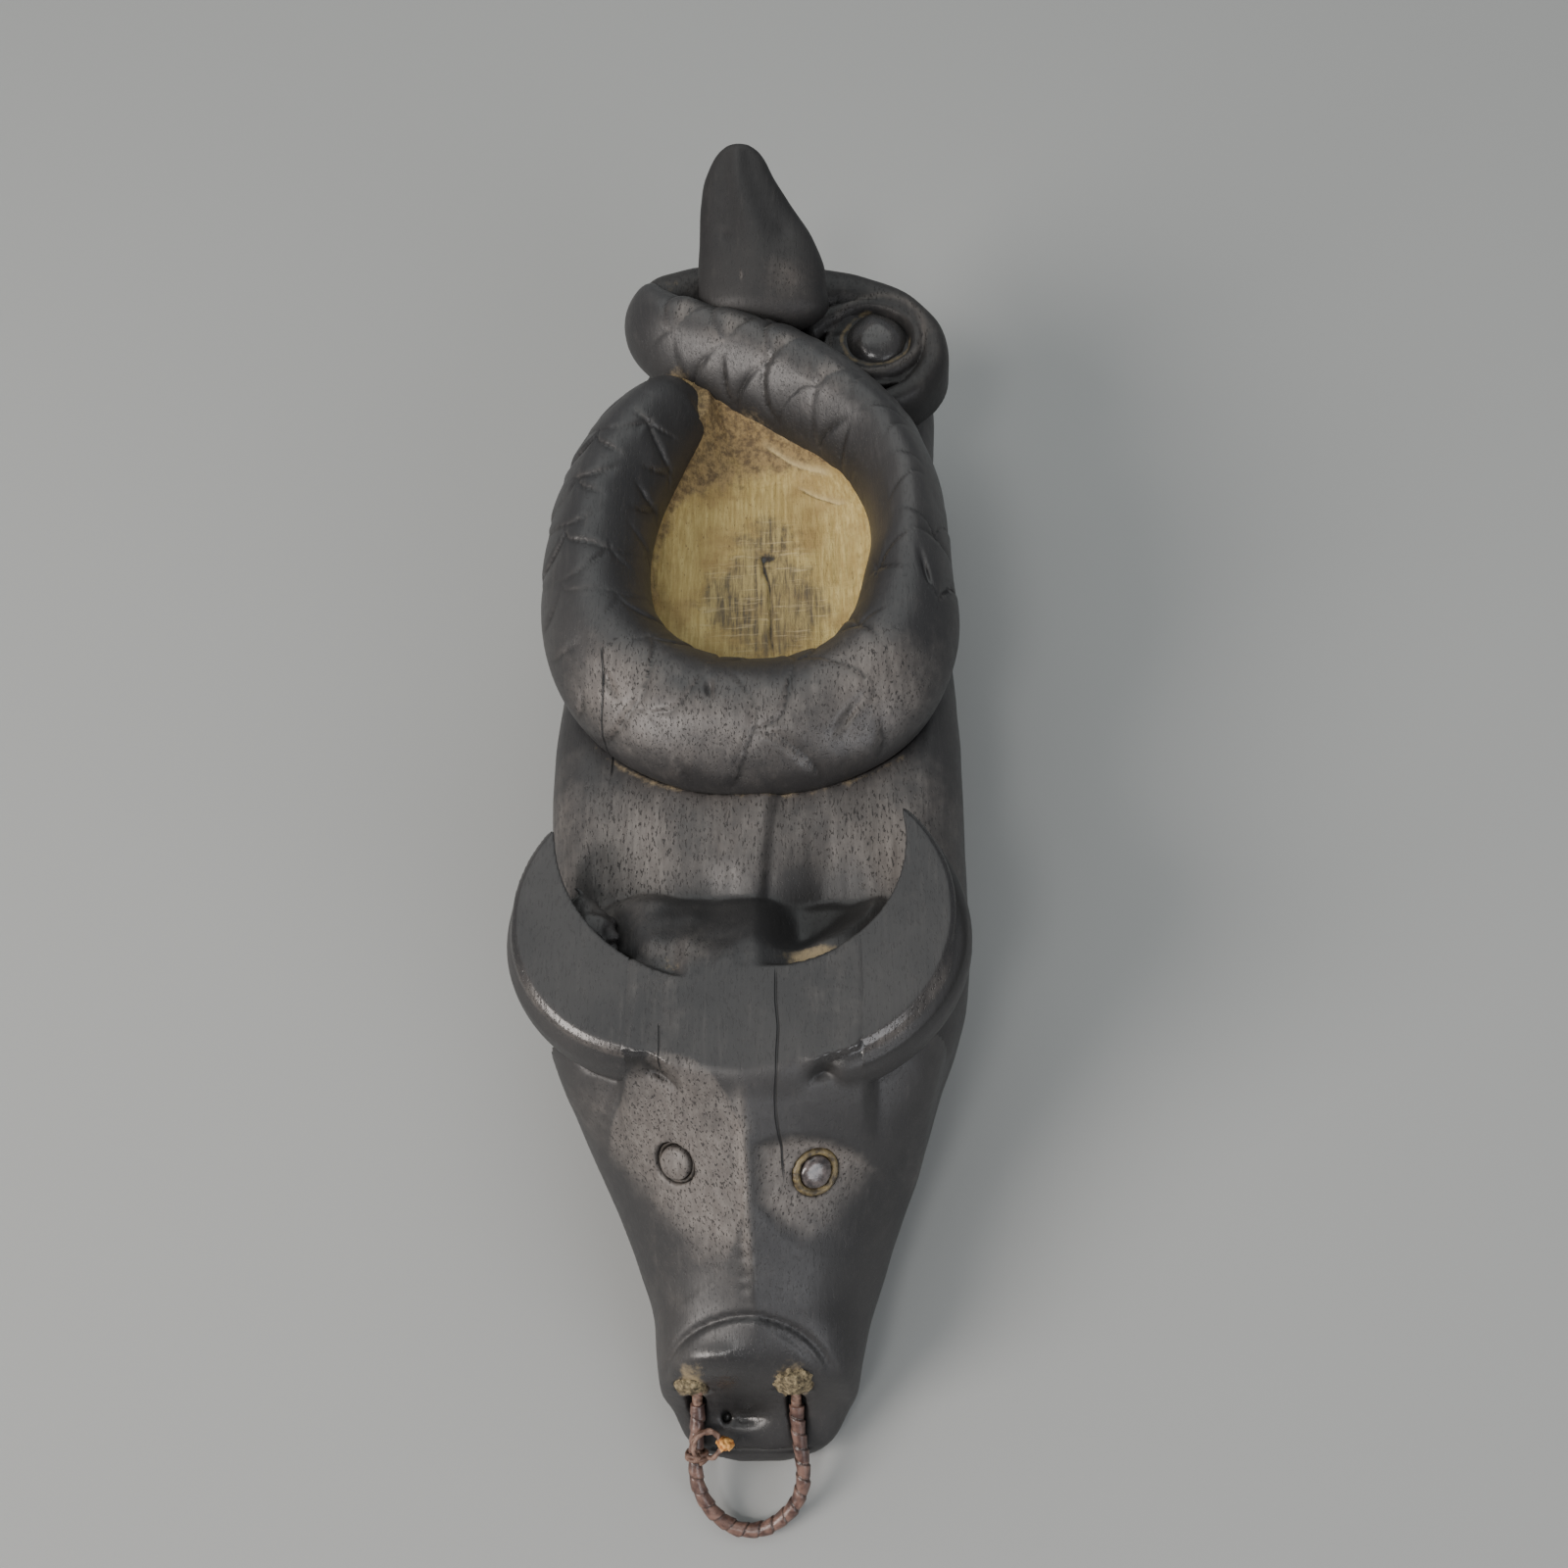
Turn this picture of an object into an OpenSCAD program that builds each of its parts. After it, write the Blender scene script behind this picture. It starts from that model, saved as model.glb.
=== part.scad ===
// Carved ox-head yoke ornament with a coiled snake, a dished well and a nose ring.
// Millimetres. -Y towards the muzzle, +Y towards the snake's snout, +Z up, flat base on z = 0.

/* [Block] */
// Half width of the block at its flanks
flank_hw = 39.4; // [37:0.5:42]
// Height of the flat forehead above the base
brow_z = 62; // [60:1:64]
// Height of the flat deck that the snake lies on
deck_z = 46; // [45:0.5:47]

/* [Horns] */
// Depth of a horn below the forehead plane
horn_depth = 13; // [9:1:14]
// Distance of each horn joint from the centre line
horn_joint_x = 19; // [17:0.5:22]

/* [Snake] */
// Height of the coil's axis above the deck
coil_axis_h = 11; // [10.5:0.25:12]
// Half height of the coil's section
coil_hv = 12; // [11.5:0.25:13]
// Rise of the snake's head from neck to snout, in degrees
head_tilt = 28; // [24:1:30]

/* [Well] */
// Radius of the round part of the well's pale floor
well_r = 23; // [20:0.5:23.5]
// Thickness of the pale floor
well_floor_t = 2.5; // [1.5:0.25:4]

/* [Eyes] */
// Radius of the left eye's plug
left_eye_r = 3; // [2.6:0.1:3.1]
// Radius of the right eye's plug
right_eye_r = 2.4; // [2:0.1:3]

/* [Nose ring] */
// Radius of the ring's core
core_r = 0.95; // [0.8:0.05:1]
// Radius over the binding
binding_r = 1.5; // [1.3:0.05:1.6]
// Radius of the ring's bend, at the core's axis
bend_r = 8.9; // [8.6:0.1:9.2]
// Distance from the pivot to the far end of the core's axis
ring_reach = 25.2; // [24:0.1:25.4]
// Droop of the ring below level when its end rests on the table, in degrees
ring_droop = 35.6; // [34:0.2:36]

/* [Hidden] */
$fn = 48;

wood = [0.12, 0.11, 0.11];
pale_wood = [0.72, 0.6, 0.36];
resin = [0.55, 0.46, 0.28];
cord = [0.4, 0.26, 0.2];
amber = [0.8, 0.5, 0.2];

// Sections of the block from the lip to the rear:
// [y, centre x, half width, half width of base, height of widest point, top height, squareness of the crown]
block_rows = [
    [-109.9, -1.2, 7, 5, 3, 5.6, 3],
    [-109.2, -1.2, 8.8, 6.5, 3.6, 7.2, 3],
    [-108.4, -1, 10.4, 7.5, 4.4, 8.4, 3],
    [-107, -0.8, 12.8, 9, 6, 10.6, 3],
    [-105, -0.7, 14.4, 10.5, 8, 13.2, 2.8],
    [-103, -0.6, 15.6, 11.5, 10, 16.2, 2.6],
    [-101.5, -0.6, 16.3, 12, 12, 19.4, 2.5],
    [-100, -0.5, 16.8, 12.6, 14, 22.8, 2.4],
    [-98, -0.5, 17.3, 13, 15.5, 27, 2.2],
    [-95.5, -0.5, 17.8, 13.6, 17, 31, 2],
    [-92.5, -0.2, 18.4, 14.4, 18.5, 34.4, 1.9],
    [-90, 0, 19, 15, 19.5, 36.6, 1.8],
    [-85, 0, 20.9, 16.4, 21, 40.4, 1.75],
    [-80, 0, 22.8, 18, 22.5, 44.4, 1.75],
    [-74, 0, 25.2, 20, 24.5, 49.2, 1.8],
    [-68, 0, 27.5, 22, 26, 54, 1.9],
    [-63, -0.2, 29.4, 23.4, 27.5, 58.2, 2.2],
    [-59, -0.3, 31, 24.6, 28.5, 61.2, 2.8],
    [-56, -0.4, 32, 25.4, 29, brow_z, 3.4],
    [-51, -0.6, 33.6, 26.6, 29.5, brow_z, 3.6],
    [-46, -0.6, 35.6, 28, 30, brow_z - 1, 3],
    [-42, -0.4, 37, 29, 30, brow_z - 4, 2.6],
    [-37, 0, 38.2, 30, 30, 51.5, 2.4],
    [-30, 0, flank_hw - 0.4, 31, 30, 50, 2.4],
    [-18, 0, flank_hw, 32, 30, 52, 2.4],
    [-6, 0, flank_hw, 32, 30, 53, 2.6],
    [8, 0, flank_hw, 32, 30, 53, 3.2],
    [24, 0, flank_hw, 32, 29, 53, 4],
    [44, 0.2, flank_hw - 0.4, 31.6, 28, 53, 4],
    [64, 0.4, 38.2, 31, 28, 53, 4],
    [80, 1, 36.4, 29, 27, 53, 4],
    [94, 3, 35, 27, 27, 53, 4],
    [106, 5, 33.4, 25, 26, 53, 4],
    [115, 5.5, 29.5, 21, 25, 53, 3.8],
    [122, 5.5, 23, 15, 24, 52, 3.4],
    [127, 5.2, 15.5, 9, 22, 50, 3],
    [129.6, 5, 8, 4, 20, 46.5, 2.6]
];
crown_steps = 22;
side_steps = 4;
below_base = 3;

// Horn outlines, left then right: [outer circle x, y, radius, inner circle x, y, radius]
horn_arcs = [
    [-13.8, -30.2, 26.1, -2.3, -12.9, 31.2],
    [8.8, -30.9, 27, 4.2, -17.8, 23.5]
];
horn_flare = 2.4;
horn_dowel_r = 2.5;
horn_dowel_y = -46;
horn_dowel_half = 6;

// Path of the coil, from its tucked end round the well and over to the left bend:
// [x, y, half width, extra height]
coil_path = [
    [-17, 87.4, 8.6, 0], [-23.6, 76.6, 10.2, 0], [-28.8, 61.5, 10.3, 0], [-30.4, 45, 10.2, 0],
    [-28.3, 29.5, 11, 0], [-21.5, 18, 12.3, 0], [-11, 10.6, 13, 0], [1, 8.3, 13, 0],
    [13, 9.8, 12.7, 0], [22.5, 15.5, 12, 0], [28.9, 27, 10.4, 0], [30.6, 40, 8.2, 0.3],
    [31.2, 50, 7.2, 0.6], [30.2, 61, 7.4, 1], [26.6, 71, 8.2, 1.5], [22, 78, 9.1, 2],
    [13.5, 86.8, 10.2, 2.4], [4.5, 93.5, 10.6, 2.4], [-4, 98.6, 10.1, 2], [-13, 102.8, 9.2, 1.4],
    [-20.6, 106.4, 8.3, 0.8], [-25, 109, 5.6, -1.6]
];
// Path of the tail, from the left bend behind the head and round the peg: [x, y, radius]
tail_path = [
    [-20.5, 115.6, 5.6], [-12, 119.6, 6.4], [0, 121.8, 6.6], [12, 122.4, 6.4], [22, 120.6, 6],
    [31, 115.6, 5.4], [36, 108.4, 5], [36.8, 100.4, 4.7], [33.2, 94, 4.3]
];
tube_sides = 14;
smooth_steps = 3;

tail_peg_pos = [26.6, 107.4];
tail_peg_r = 6.3;
tail_peg_top = 57;

// Head of the snake along its own axis: [distance, sideways shift, half width, half height]
head_rows = [
    [0, 2.6, 13, 6], [5.5, 2.8, 13.8, 7], [14.5, 2.6, 13.4, 7], [22, 1.7, 12, 6.4], [31, -0.6, 8.9, 5.2],
    [37, -1.6, 6.6, 4.4], [41, -1.6, 4.4, 3], [42.2, -1.6, 2.4, 1.8]
];
head_base = [0, 99, 61.5];
neck_pos = [1.5, 110.6];
neck_r = 4.2;
seat_gap = 0.2;

coil_dowel_spots = [[1, 8.3], [-30.2, 45], [31, 45], [13.5, 86.8]];
dowel_r = 2.5;
dowel_below = 8;
dowel_above = 8;

well_centre = [1, 43];
well_far = [-5, 75];
well_far_r = 7;

// Eyes, left then right: [x, y, z, sideways lean, plug radius, socket radius]
eye_spots = [[-12.6, -69.6, 49.3, -20, left_eye_r, 3.6], [11, -70.6, 48.9, 20, right_eye_r, 4.3]];
face_slope = 38;
eye_depth = 7;
eye_proud = 0.9;

// The ring's pivot line runs through the septum
pivot = [-2.9, -100.4, 16.4];
leg_length = ring_reach - bend_r;
ring_raise = 60;
bore_slack = 0.09;
slot_slack = 0.5;
slot_reach = 14;
nostril_x = [pivot.x - bend_r, pivot.x + bend_r];
binding_start = 2.6;
muzzle_slope = 59;
packing_r = 2.4;
packing_depth = 3;
packing_spots = [[nostril_x[0], -100.2, 22.2], [nostril_x[1], -100.2, 22.2]];
tie_r = 0.45;
tie_loop_r = 2.4;
tie_at = 9.3;
tie_end_r = 1.1;

function signed_power(v, p) = sign(v) * pow(abs(v), p);

// A point of a row's flank, t = 0 below the base and t = 1 at the widest point
function flank_point(r, side, t) =
    [r[1] + side * (r[3] + (r[2] - r[3]) * sin(90 * t)), r[0], (r[4] + below_base) * t - below_base];

// One row of the block as a ring of points: over the crown from +X to -X, then down and under the base
function block_ring(r) = concat(
    [for (i = [0:crown_steps]) let (a = 180 * i / crown_steps)
        [r[1] + r[2] * signed_power(cos(a), 2 / r[6]), r[0], r[4] + (r[5] - r[4]) * pow(sin(a), 2 / r[6])]],
    [for (i = [side_steps - 1:-1:0]) flank_point(r, -1, i / side_steps)],
    [for (i = [0:side_steps - 1]) flank_point(r, 1, i / side_steps)]
);

// Side faces and two end caps for a stack of equal rings
function skin_faces(count, n) = concat(
    [for (i = [0:count - 2], j = [0:n - 1])
        [i * n + j, i * n + (j + 1) % n, (i + 1) * n + (j + 1) % n]],
    [for (i = [0:count - 2], j = [0:n - 1])
        [i * n + j, (i + 1) * n + (j + 1) % n, (i + 1) * n + j]],
    [[for (j = [n - 1:-1:0]) j]],
    [[for (j = [0:n - 1]) (count - 1) * n + j]]
);

module skin(rings) {
    n = len(rings[0]);
    polyhedron(points = [for (ring = rings, p = ring) p], faces = skin_faces(len(rings), n), convexity = 6);
}

// Catmull-Rom refinement of a path whose rows may hold any number of values
function row_at(path, i) = path[max(0, min(len(path) - 1, i))];
function between(a, b, c, d, t) = 0.5 * (2 * b + (c - a) * t + (2 * a - 5 * b + 4 * c - d) * t * t
    + (3 * b - a - 3 * c + d) * t * t * t);
function smooth(path, steps) = concat(
    [for (i = [0:len(path) - 2], k = [0:steps - 1])
        between(row_at(path, i - 1), path[i], path[i + 1], row_at(path, i + 2), k / steps)],
    [path[len(path) - 1]]
);

function heading(path, i) = let (a = row_at(path, i - 1), b = row_at(path, i + 1))
    atan2(b[1] - a[1], b[0] - a[0]);

// A ring square to the path, never lower than the deck
function tube_ring(x, y, dir, hw, axis_z, hv, floor_z) = [
    for (k = [0:tube_sides - 1]) let (a = 360 * k / tube_sides)
    [x + hw * cos(a) * sin(dir), y - hw * cos(a) * cos(dir), max(floor_z, axis_z + hv * sin(a))]];

module coil_solid(grow = 0) {
    path = smooth(coil_path, smooth_steps);
    skin([for (i = [0:len(path) - 1]) tube_ring(path[i][0], path[i][1], heading(path, i), path[i][2] + grow,
        deck_z + coil_axis_h, coil_hv + path[i][3] + grow, deck_z - grow)]);
}

module tail_solid(grow = 0) {
    path = smooth(tail_path, smooth_steps);
    skin([for (i = [0:len(path) - 1]) tube_ring(path[i][0], path[i][1], heading(path, i), path[i][2] + grow,
        deck_z + path[i][2] * 0.9, path[i][2] + grow, deck_z - grow)]);
}

// The crescent outside the joint line, flaring a little towards its underside
module horn_solid(side) {
    s = side == 0 ? -1 : 1;
    a = horn_arcs[side];
    reach = 60;
    intersection() {
        difference() {
            translate([a[0], a[1], brow_z - horn_depth])
                cylinder(r1 = a[2] + horn_flare, r2 = a[2], h = horn_depth, $fn = 96);
            translate([a[3], a[4], brow_z - horn_depth - 1])
                cylinder(r = a[5], h = horn_depth + 2, $fn = 96);
        }
        translate([s < 0 ? -horn_joint_x - reach : horn_joint_x, -reach * 1.5, 0])
            cube([reach, reach * 2, brow_z * 2]);
    }
}

module horn_dowel(side) {
    s = side == 0 ? -1 : 1;
    translate([s * horn_joint_x, horn_dowel_y, brow_z - horn_depth / 2]) rotate([0, 90, 0])
        cylinder(r = horn_dowel_r, h = 2 * horn_dowel_half, center = true);
}

module eye_frame(side) {
    e = eye_spots[side];
    translate([e[0], e[1], e[2]]) rotate([face_slope, 0, 0]) rotate([0, e[3], 0]) children();
}

module eye_socket(side) {
    eye_frame(side) translate([0, 0, -eye_depth + eye_proud])
        cylinder(r = eye_spots[side][5], h = 3 * eye_depth);
}

module eye_plug(side) {
    eye_frame(side) translate([0, 0, -eye_depth + eye_proud])
        cylinder(r = eye_spots[side][4], h = eye_depth);
}

module eye_bedding(side) {
    eye_frame(side) translate([0, 0, -eye_depth + eye_proud]) difference() {
        cylinder(r = eye_spots[side][5], h = eye_depth - eye_proud);
        translate([0, 0, -1]) cylinder(r = eye_spots[side][4], h = 2 * eye_depth);
    }
}

// Frame of the ring: X along the pivot, Y out along the legs; raise lifts it from rest
module ring_frame(raise = 0) {
    translate(pivot) rotate([ring_droop - raise, 0, 0]) mirror([0, 1, 0]) children();
}

// One leg from the pivot line towards the bend, skipping its first stretch
module leg(side, r, from, length) {
    s = side == 0 ? -1 : 1;
    translate([s * bend_r, from, 0]) rotate([-90, 0, 0]) cylinder(r = r, h = length - from);
}

module u_bend(r, from) {
    for (side = [0, 1]) leg(side, r, from, leg_length);
    translate([0, leg_length, 0]) rotate_extrude(angle = 180) translate([bend_r, 0]) circle(r = r);
}

module ring_core() {
    color(cord) ring_frame() {
        u_bend(core_r, 0);
        rotate([0, 90, 0]) cylinder(r = core_r, h = 2 * bend_r, center = true);
        for (s = [-1, 1]) translate([s * bend_r, 0, 0]) sphere(r = core_r);
    }
}

module ring_binding() {
    color(cord) ring_frame() difference() {
        u_bend(binding_r, binding_start);
        u_bend(core_r, binding_start - 1);
    }
}

module tie_frame() {
    ring_frame() translate([-bend_r - 0.6 + tie_loop_r, tie_at, binding_r + tie_r]) children();
}

module ring_tie() {
    color(cord) tie_frame() rotate_extrude() translate([tie_loop_r, 0]) circle(r = tie_r);
}

module tie_end() {
    color(amber) tie_frame() translate([tie_loop_r + tie_r + tie_end_r, -tie_end_r, 0])
        rotate([-90, 0, 0]) cylinder(r = tie_end_r, h = 2 * tie_end_r);
}

// Room for a leg from rest to fully raised
module leg_slot(side) {
    r = binding_r + slot_slack;
    for (raise = [0, ring_raise]) ring_frame(raise) leg(side, r, 0, slot_reach);
    translate([nostril_x[side], pivot.y, pivot.z]) rotate([0, 90, 0]) {
        cylinder(r = r + 0.3, h = 2 * r + 1, center = true);
        translate([0, 0, -r - 0.3]) rotate([0, 0, 270 - ring_raise + ring_droop])
            rotate_extrude(angle = ring_raise) square([slot_reach, 2 * r + 0.6]);
    }
}

module packing_pocket(side, depth) {
    p = packing_spots[side];
    translate(p) rotate([muzzle_slope, 0, 0]) translate([0, 0, -packing_depth])
        cylinder(r = packing_r, h = depth);
}

module nostril_packing(side) {
    color(resin) packing_pocket(side, packing_depth);
}

module deck_cut() {
    top = 60;
    translate([1.5, 36, deck_z]) cylinder(r = 42.6, h = top, $fn = 96);
    translate([-60, 36, deck_z]) cube([120, 120, top]);
}

module ox_block() {
    color(wood) difference() {
        skin([for (r = block_rows) block_ring(r)]);
        translate([-100, -150, -20]) cube([200, 300, 20]);
        deck_cut();
        for (side = [0, 1]) {
            horn_solid(side);
            horn_dowel(side);
            eye_socket(side);
            packing_pocket(side, 3 * packing_depth);
            leg_slot(side);
        }
        translate(pivot) rotate([0, 90, 0]) cylinder(r = core_r + bore_slack, h = 2 * bend_r, center = true);
        for (p = concat(coil_dowel_spots, [neck_pos, tail_peg_pos]))
            translate([p[0], p[1], deck_z - dowel_below]) cylinder(r = dowel_r, h = 30);
    }
}

module horn(side) {
    color(wood) difference() {
        horn_solid(side);
        horn_dowel(side);
    }
}

module well_floor() {
    color(pale_wood) translate([0, 0, deck_z]) linear_extrude(well_floor_t) hull() {
        translate(well_centre) circle(r = well_r, $fn = 64);
        translate(well_far) circle(r = well_far_r, $fn = 32);
    }
}

module snake_coil() {
    color(wood) difference() {
        coil_solid();
        for (p = coil_dowel_spots)
            translate([p[0], p[1], deck_z - 1]) cylinder(r = dowel_r, h = dowel_above + 1);
    }
}

module snake_tail() {
    color(wood) difference() {
        tail_solid();
        coil_solid(seat_gap);
        translate([tail_peg_pos[0], tail_peg_pos[1], deck_z - 1])
            cylinder(r = tail_peg_r + seat_gap, h = tail_peg_top);
    }
}

function head_ring(r) = [for (k = [0:tube_sides - 1]) let (a = 360 * k / tube_sides)
    [r[1] + r[2] * cos(a), r[0], r[3] * sin(a)]];

module snake_head() {
    color(wood) difference() {
        union() {
            translate(head_base) rotate([head_tilt, 0, 0]) skin([for (r = head_rows) head_ring(r)]);
            translate([neck_pos[0], neck_pos[1], deck_z]) cylinder(r = neck_r, h = head_base[2] + 4 - deck_z);
        }
        coil_solid(seat_gap);
        tail_solid(seat_gap);
        translate([neck_pos[0], neck_pos[1], deck_z - 1])
            cylinder(r = dowel_r, h = dowel_above + 1);
    }
}

module tail_peg() {
    color(wood) {
        translate([tail_peg_pos[0], tail_peg_pos[1], deck_z - dowel_below])
            cylinder(r = dowel_r, h = dowel_below);
        translate([tail_peg_pos[0], tail_peg_pos[1], deck_z]) intersection() {
            cylinder(r = tail_peg_r, h = tail_peg_top - deck_z);
            translate([0, 0, tail_peg_top - deck_z - 9]) sphere(r = 9);
        }
    }
}

module dowel() {
    translate([0, 0, -dowel_below]) cylinder(r = dowel_r, h = dowel_below + dowel_above);
}

ox_block();
horn(0);  // left_horn
horn(1);  // right_horn
color(pale_wood) { horn_dowel(0); horn_dowel(1); }  // horn_dowels
color(wood) eye_plug(0);  // left_eye
color(wood) eye_plug(1);  // right_eye
color(resin) eye_bedding(0);  // left_eye_bedding
color(resin) eye_bedding(1);  // right_eye_bedding
well_floor();
snake_coil();
snake_tail();
snake_head();
tail_peg();
color(pale_wood) for (p = coil_dowel_spots) translate([p[0], p[1], deck_z]) dowel();  // coil_dowels
color(pale_wood) translate([neck_pos[0], neck_pos[1], deck_z]) dowel();  // head_dowel
nostril_packing(0);  // left_nostril_packing
nostril_packing(1);  // right_nostril_packing
ring_core();
ring_binding();
ring_tie();
tie_end();
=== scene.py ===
"""Looks of the carved ox-head yoke ornament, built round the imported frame."""

import math

import bpy
import numpy as np
from mathutils import Matrix, Vector


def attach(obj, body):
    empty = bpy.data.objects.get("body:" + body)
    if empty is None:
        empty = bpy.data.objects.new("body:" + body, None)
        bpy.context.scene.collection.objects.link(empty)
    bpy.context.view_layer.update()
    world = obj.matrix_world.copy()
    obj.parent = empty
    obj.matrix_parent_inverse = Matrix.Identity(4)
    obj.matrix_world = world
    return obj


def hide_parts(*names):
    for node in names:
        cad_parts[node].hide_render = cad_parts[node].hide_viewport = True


MM = 0.001
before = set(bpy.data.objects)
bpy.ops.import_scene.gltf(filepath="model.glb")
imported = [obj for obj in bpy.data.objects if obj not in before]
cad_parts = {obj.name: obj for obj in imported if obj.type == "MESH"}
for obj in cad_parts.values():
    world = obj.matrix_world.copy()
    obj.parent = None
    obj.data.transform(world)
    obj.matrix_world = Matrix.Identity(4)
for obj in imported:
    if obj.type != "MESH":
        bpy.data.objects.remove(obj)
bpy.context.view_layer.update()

CARVING = "carving"
RING = "nose_ring"
VOXEL = 0.52
RIBBON = 0.5

BROW_Z = 62.0
DECK_Z = 46.0
HORN_JOINT_X = 19.0
PIVOT = np.array([-2.9, -100.4, 16.4])
LEG_X = 8.5
RING_DROOP = math.radians(35.6)
RING_RAISE = math.radians(60.0)


# ---------------------------------------------------------------- curves and noise

def curve(*points):
    """A smooth curve through (input, output) points, flat beyond its ends, never overshooting them."""
    xs, ys = np.array(points, float).T
    slope = np.diff(ys) / np.diff(xs)
    product, total = slope[1:] * slope[:-1], slope[1:] + slope[:-1]
    inner = np.where(product > 0, 2 * product / (total + 1e-12), 0)
    tangent = np.concatenate([[slope[0]], inner, [slope[-1]]])

    def value(x):
        x = np.clip(x, xs[0], xs[-1])
        i = np.clip(np.searchsorted(xs, x, side="right") - 1, 0, len(xs) - 2)
        h = xs[i + 1] - xs[i]
        t = (x - xs[i]) / h
        return ((1 + 2 * t) * (1 - t) ** 2 * ys[i] + t * (1 - t) ** 2 * h * tangent[i]
                + t * t * (3 - 2 * t) * ys[i + 1] + t * t * (t - 1) * h * tangent[i + 1])

    return value


def ease(x, start, end):
    """Rises smoothly from 0 at start to 1 at end; with end below start it falls instead."""
    t = np.clip((x - start) / (end - start), 0, 1)
    return t * t * (3 - 2 * t)


def smooth_max(a, b, k):
    h = np.clip(0.5 + 0.5 * (a - b) / k, 0, 1)
    return b + (a - b) * h + k * h * (1 - h)


def smooth_min(a, b, k):
    return -smooth_max(-a, -b, k)


def hump(off, width):
    """1 where off is 0, falling away on both sides."""
    return np.exp(-(off / width) ** 2)


def decay(gap, reach):
    """1 where gap is 0 or less, dying away beyond."""
    return np.exp(-np.maximum(gap, 0) / reach)


def spot(x, y, cx, cy, rx, ry):
    return np.exp(-((x - cx) / rx) ** 2 - ((y - cy) / ry) ** 2)


def spots(x, y, *rows):
    """A sum of soft spots, each (amount, centre x, centre y, reach x, reach y)."""
    return sum(row[0] * spot(x, y, *row[1:]) for row in rows)


def scoop(x, y, cx, cy, rx, ry):
    """A shallow bowl: 1 in the middle of an oval and 0 from its rim."""
    return np.sqrt(np.clip(1 - ((x - cx) / rx) ** 2 - ((y - cy) / ry) ** 2, 0, 1))


CELLS = 24
LATTICE = np.random.default_rng(7).random((CELLS, CELLS, CELLS)).astype(np.float32)


def noise(x, y, z, size, seed=0):
    """Smooth noise from -1 to 1, with features about size millimetres wide."""
    total = 0
    sx, sy, sz = (np.asarray(v) / size + seed * 7.31 + 100 for v in (x, y, z))
    ix, iy, iz = (np.floor(v).astype(int) for v in (sx, sy, sz))
    fx, fy, fz = (v - np.floor(v) for v in (sx, sy, sz))
    fx, fy, fz = (f * f * (3 - 2 * f) for f in (fx, fy, fz))
    for dx in (0, 1):
        for dy in (0, 1):
            for dz in (0, 1):
                weight = (fx if dx else 1 - fx) * (fy if dy else 1 - fy) * (fz if dz else 1 - fz)
                total = total + weight * LATTICE[(ix + dx) % CELLS, (iy + dy) % CELLS, (iz + dz) % CELLS]
    return total * 2 - 1


# ---------------------------------------------------------------- making meshes

def make_mesh(name, points_mm, faces, smooth=True):
    mesh = bpy.data.meshes.new(name)
    points = np.asarray(points_mm, np.float64) * MM
    faces = np.asarray(faces, np.int64)
    mesh.vertices.add(len(points))
    mesh.vertices.foreach_set("co", points.ravel())
    sides = faces.shape[1]
    mesh.loops.add(faces.size)
    mesh.loops.foreach_set("vertex_index", faces.ravel())
    mesh.polygons.add(len(faces))
    mesh.polygons.foreach_set("loop_start", np.arange(0, faces.size, sides))
    mesh.polygons.foreach_set("loop_total", np.full(len(faces), sides))
    mesh.update(calc_edges=True)
    mesh.validate()
    mesh.polygons.foreach_set("use_smooth", np.full(len(mesh.polygons), smooth))
    obj = bpy.data.objects.new(name, mesh)
    bpy.context.scene.collection.objects.link(obj)
    return obj


def surface_of(field, low, high, step):
    """Points and quads of the surface where a field is zero, one point for each cell it crosses."""
    axes = [np.arange(lo, hi + step, step) for lo, hi in zip(low, high)]
    x, y, z = np.ix_(*axes)
    values = np.ascontiguousarray(np.broadcast_to(field(x, y, z), [len(a) for a in axes]), np.float32)
    inside = values < 0
    count = sum(inside[a:a - 1 or None, b:b - 1 or None, c:c - 1 or None].astype(np.int8)
                for a in (0, 1) for b in (0, 1) for c in (0, 1))
    cells = np.argwhere((count > 0) & (count < 8))
    ids = np.full(count.shape, -1, np.int64)
    ids[tuple(cells.T)] = np.arange(len(cells))
    total, hits = np.zeros((len(cells), 3)), np.zeros(len(cells))
    for axis in range(3):
        others = [a for a in range(3) if a != axis]
        for b in (0, 1):
            for c in (0, 1):
                start = np.zeros(3, int)
                start[others[0]], start[others[1]] = b, c
                end = start.copy()
                end[axis] = 1
                v0 = values[tuple((cells + start).T)]
                v1 = values[tuple((cells + end).T)]
                cross = (v0 < 0) != (v1 < 0)
                t = np.where(cross, v0 / np.where(cross, v0 - v1, 1), 0)
                place = start + t[:, None] * (end - start)
                total[cross] += place[cross]
                hits[cross] += 1
    points = np.array(low) + (cells + total / hits[:, None]) * step
    quads = []
    for axis in range(3):
        b, c = [(1, 2), (2, 0), (0, 1)][axis]
        first = np.take(inside, range(inside.shape[axis] - 1), axis)
        second = np.take(inside, range(1, inside.shape[axis]), axis)
        edges = np.argwhere(first != second)
        keep = (edges[:, b] > 0) & (edges[:, c] > 0)
        keep &= (edges[:, b] < values.shape[b] - 1) & (edges[:, c] < values.shape[c] - 1)
        edges = edges[keep]
        out = first[tuple(edges.T)]
        corners = []
        for db, dc in ((0, 0), (1, 0), (1, 1), (0, 1)):
            cell = edges.copy()
            cell[:, b] -= 1 - db
            cell[:, c] -= 1 - dc
            corners.append(ids[tuple(cell.T)])
        quad = np.stack(corners, 1)
        quad[~out] = quad[~out][:, ::-1]
        quads.append(quad)
    return points, np.concatenate(quads)


def sculpt(name, field, low, high, step=VOXEL):
    """An object round the space where a field is negative, with its points."""
    points, quads = surface_of(field, low, high, step)
    return make_mesh(name, points, quads), points


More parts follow.
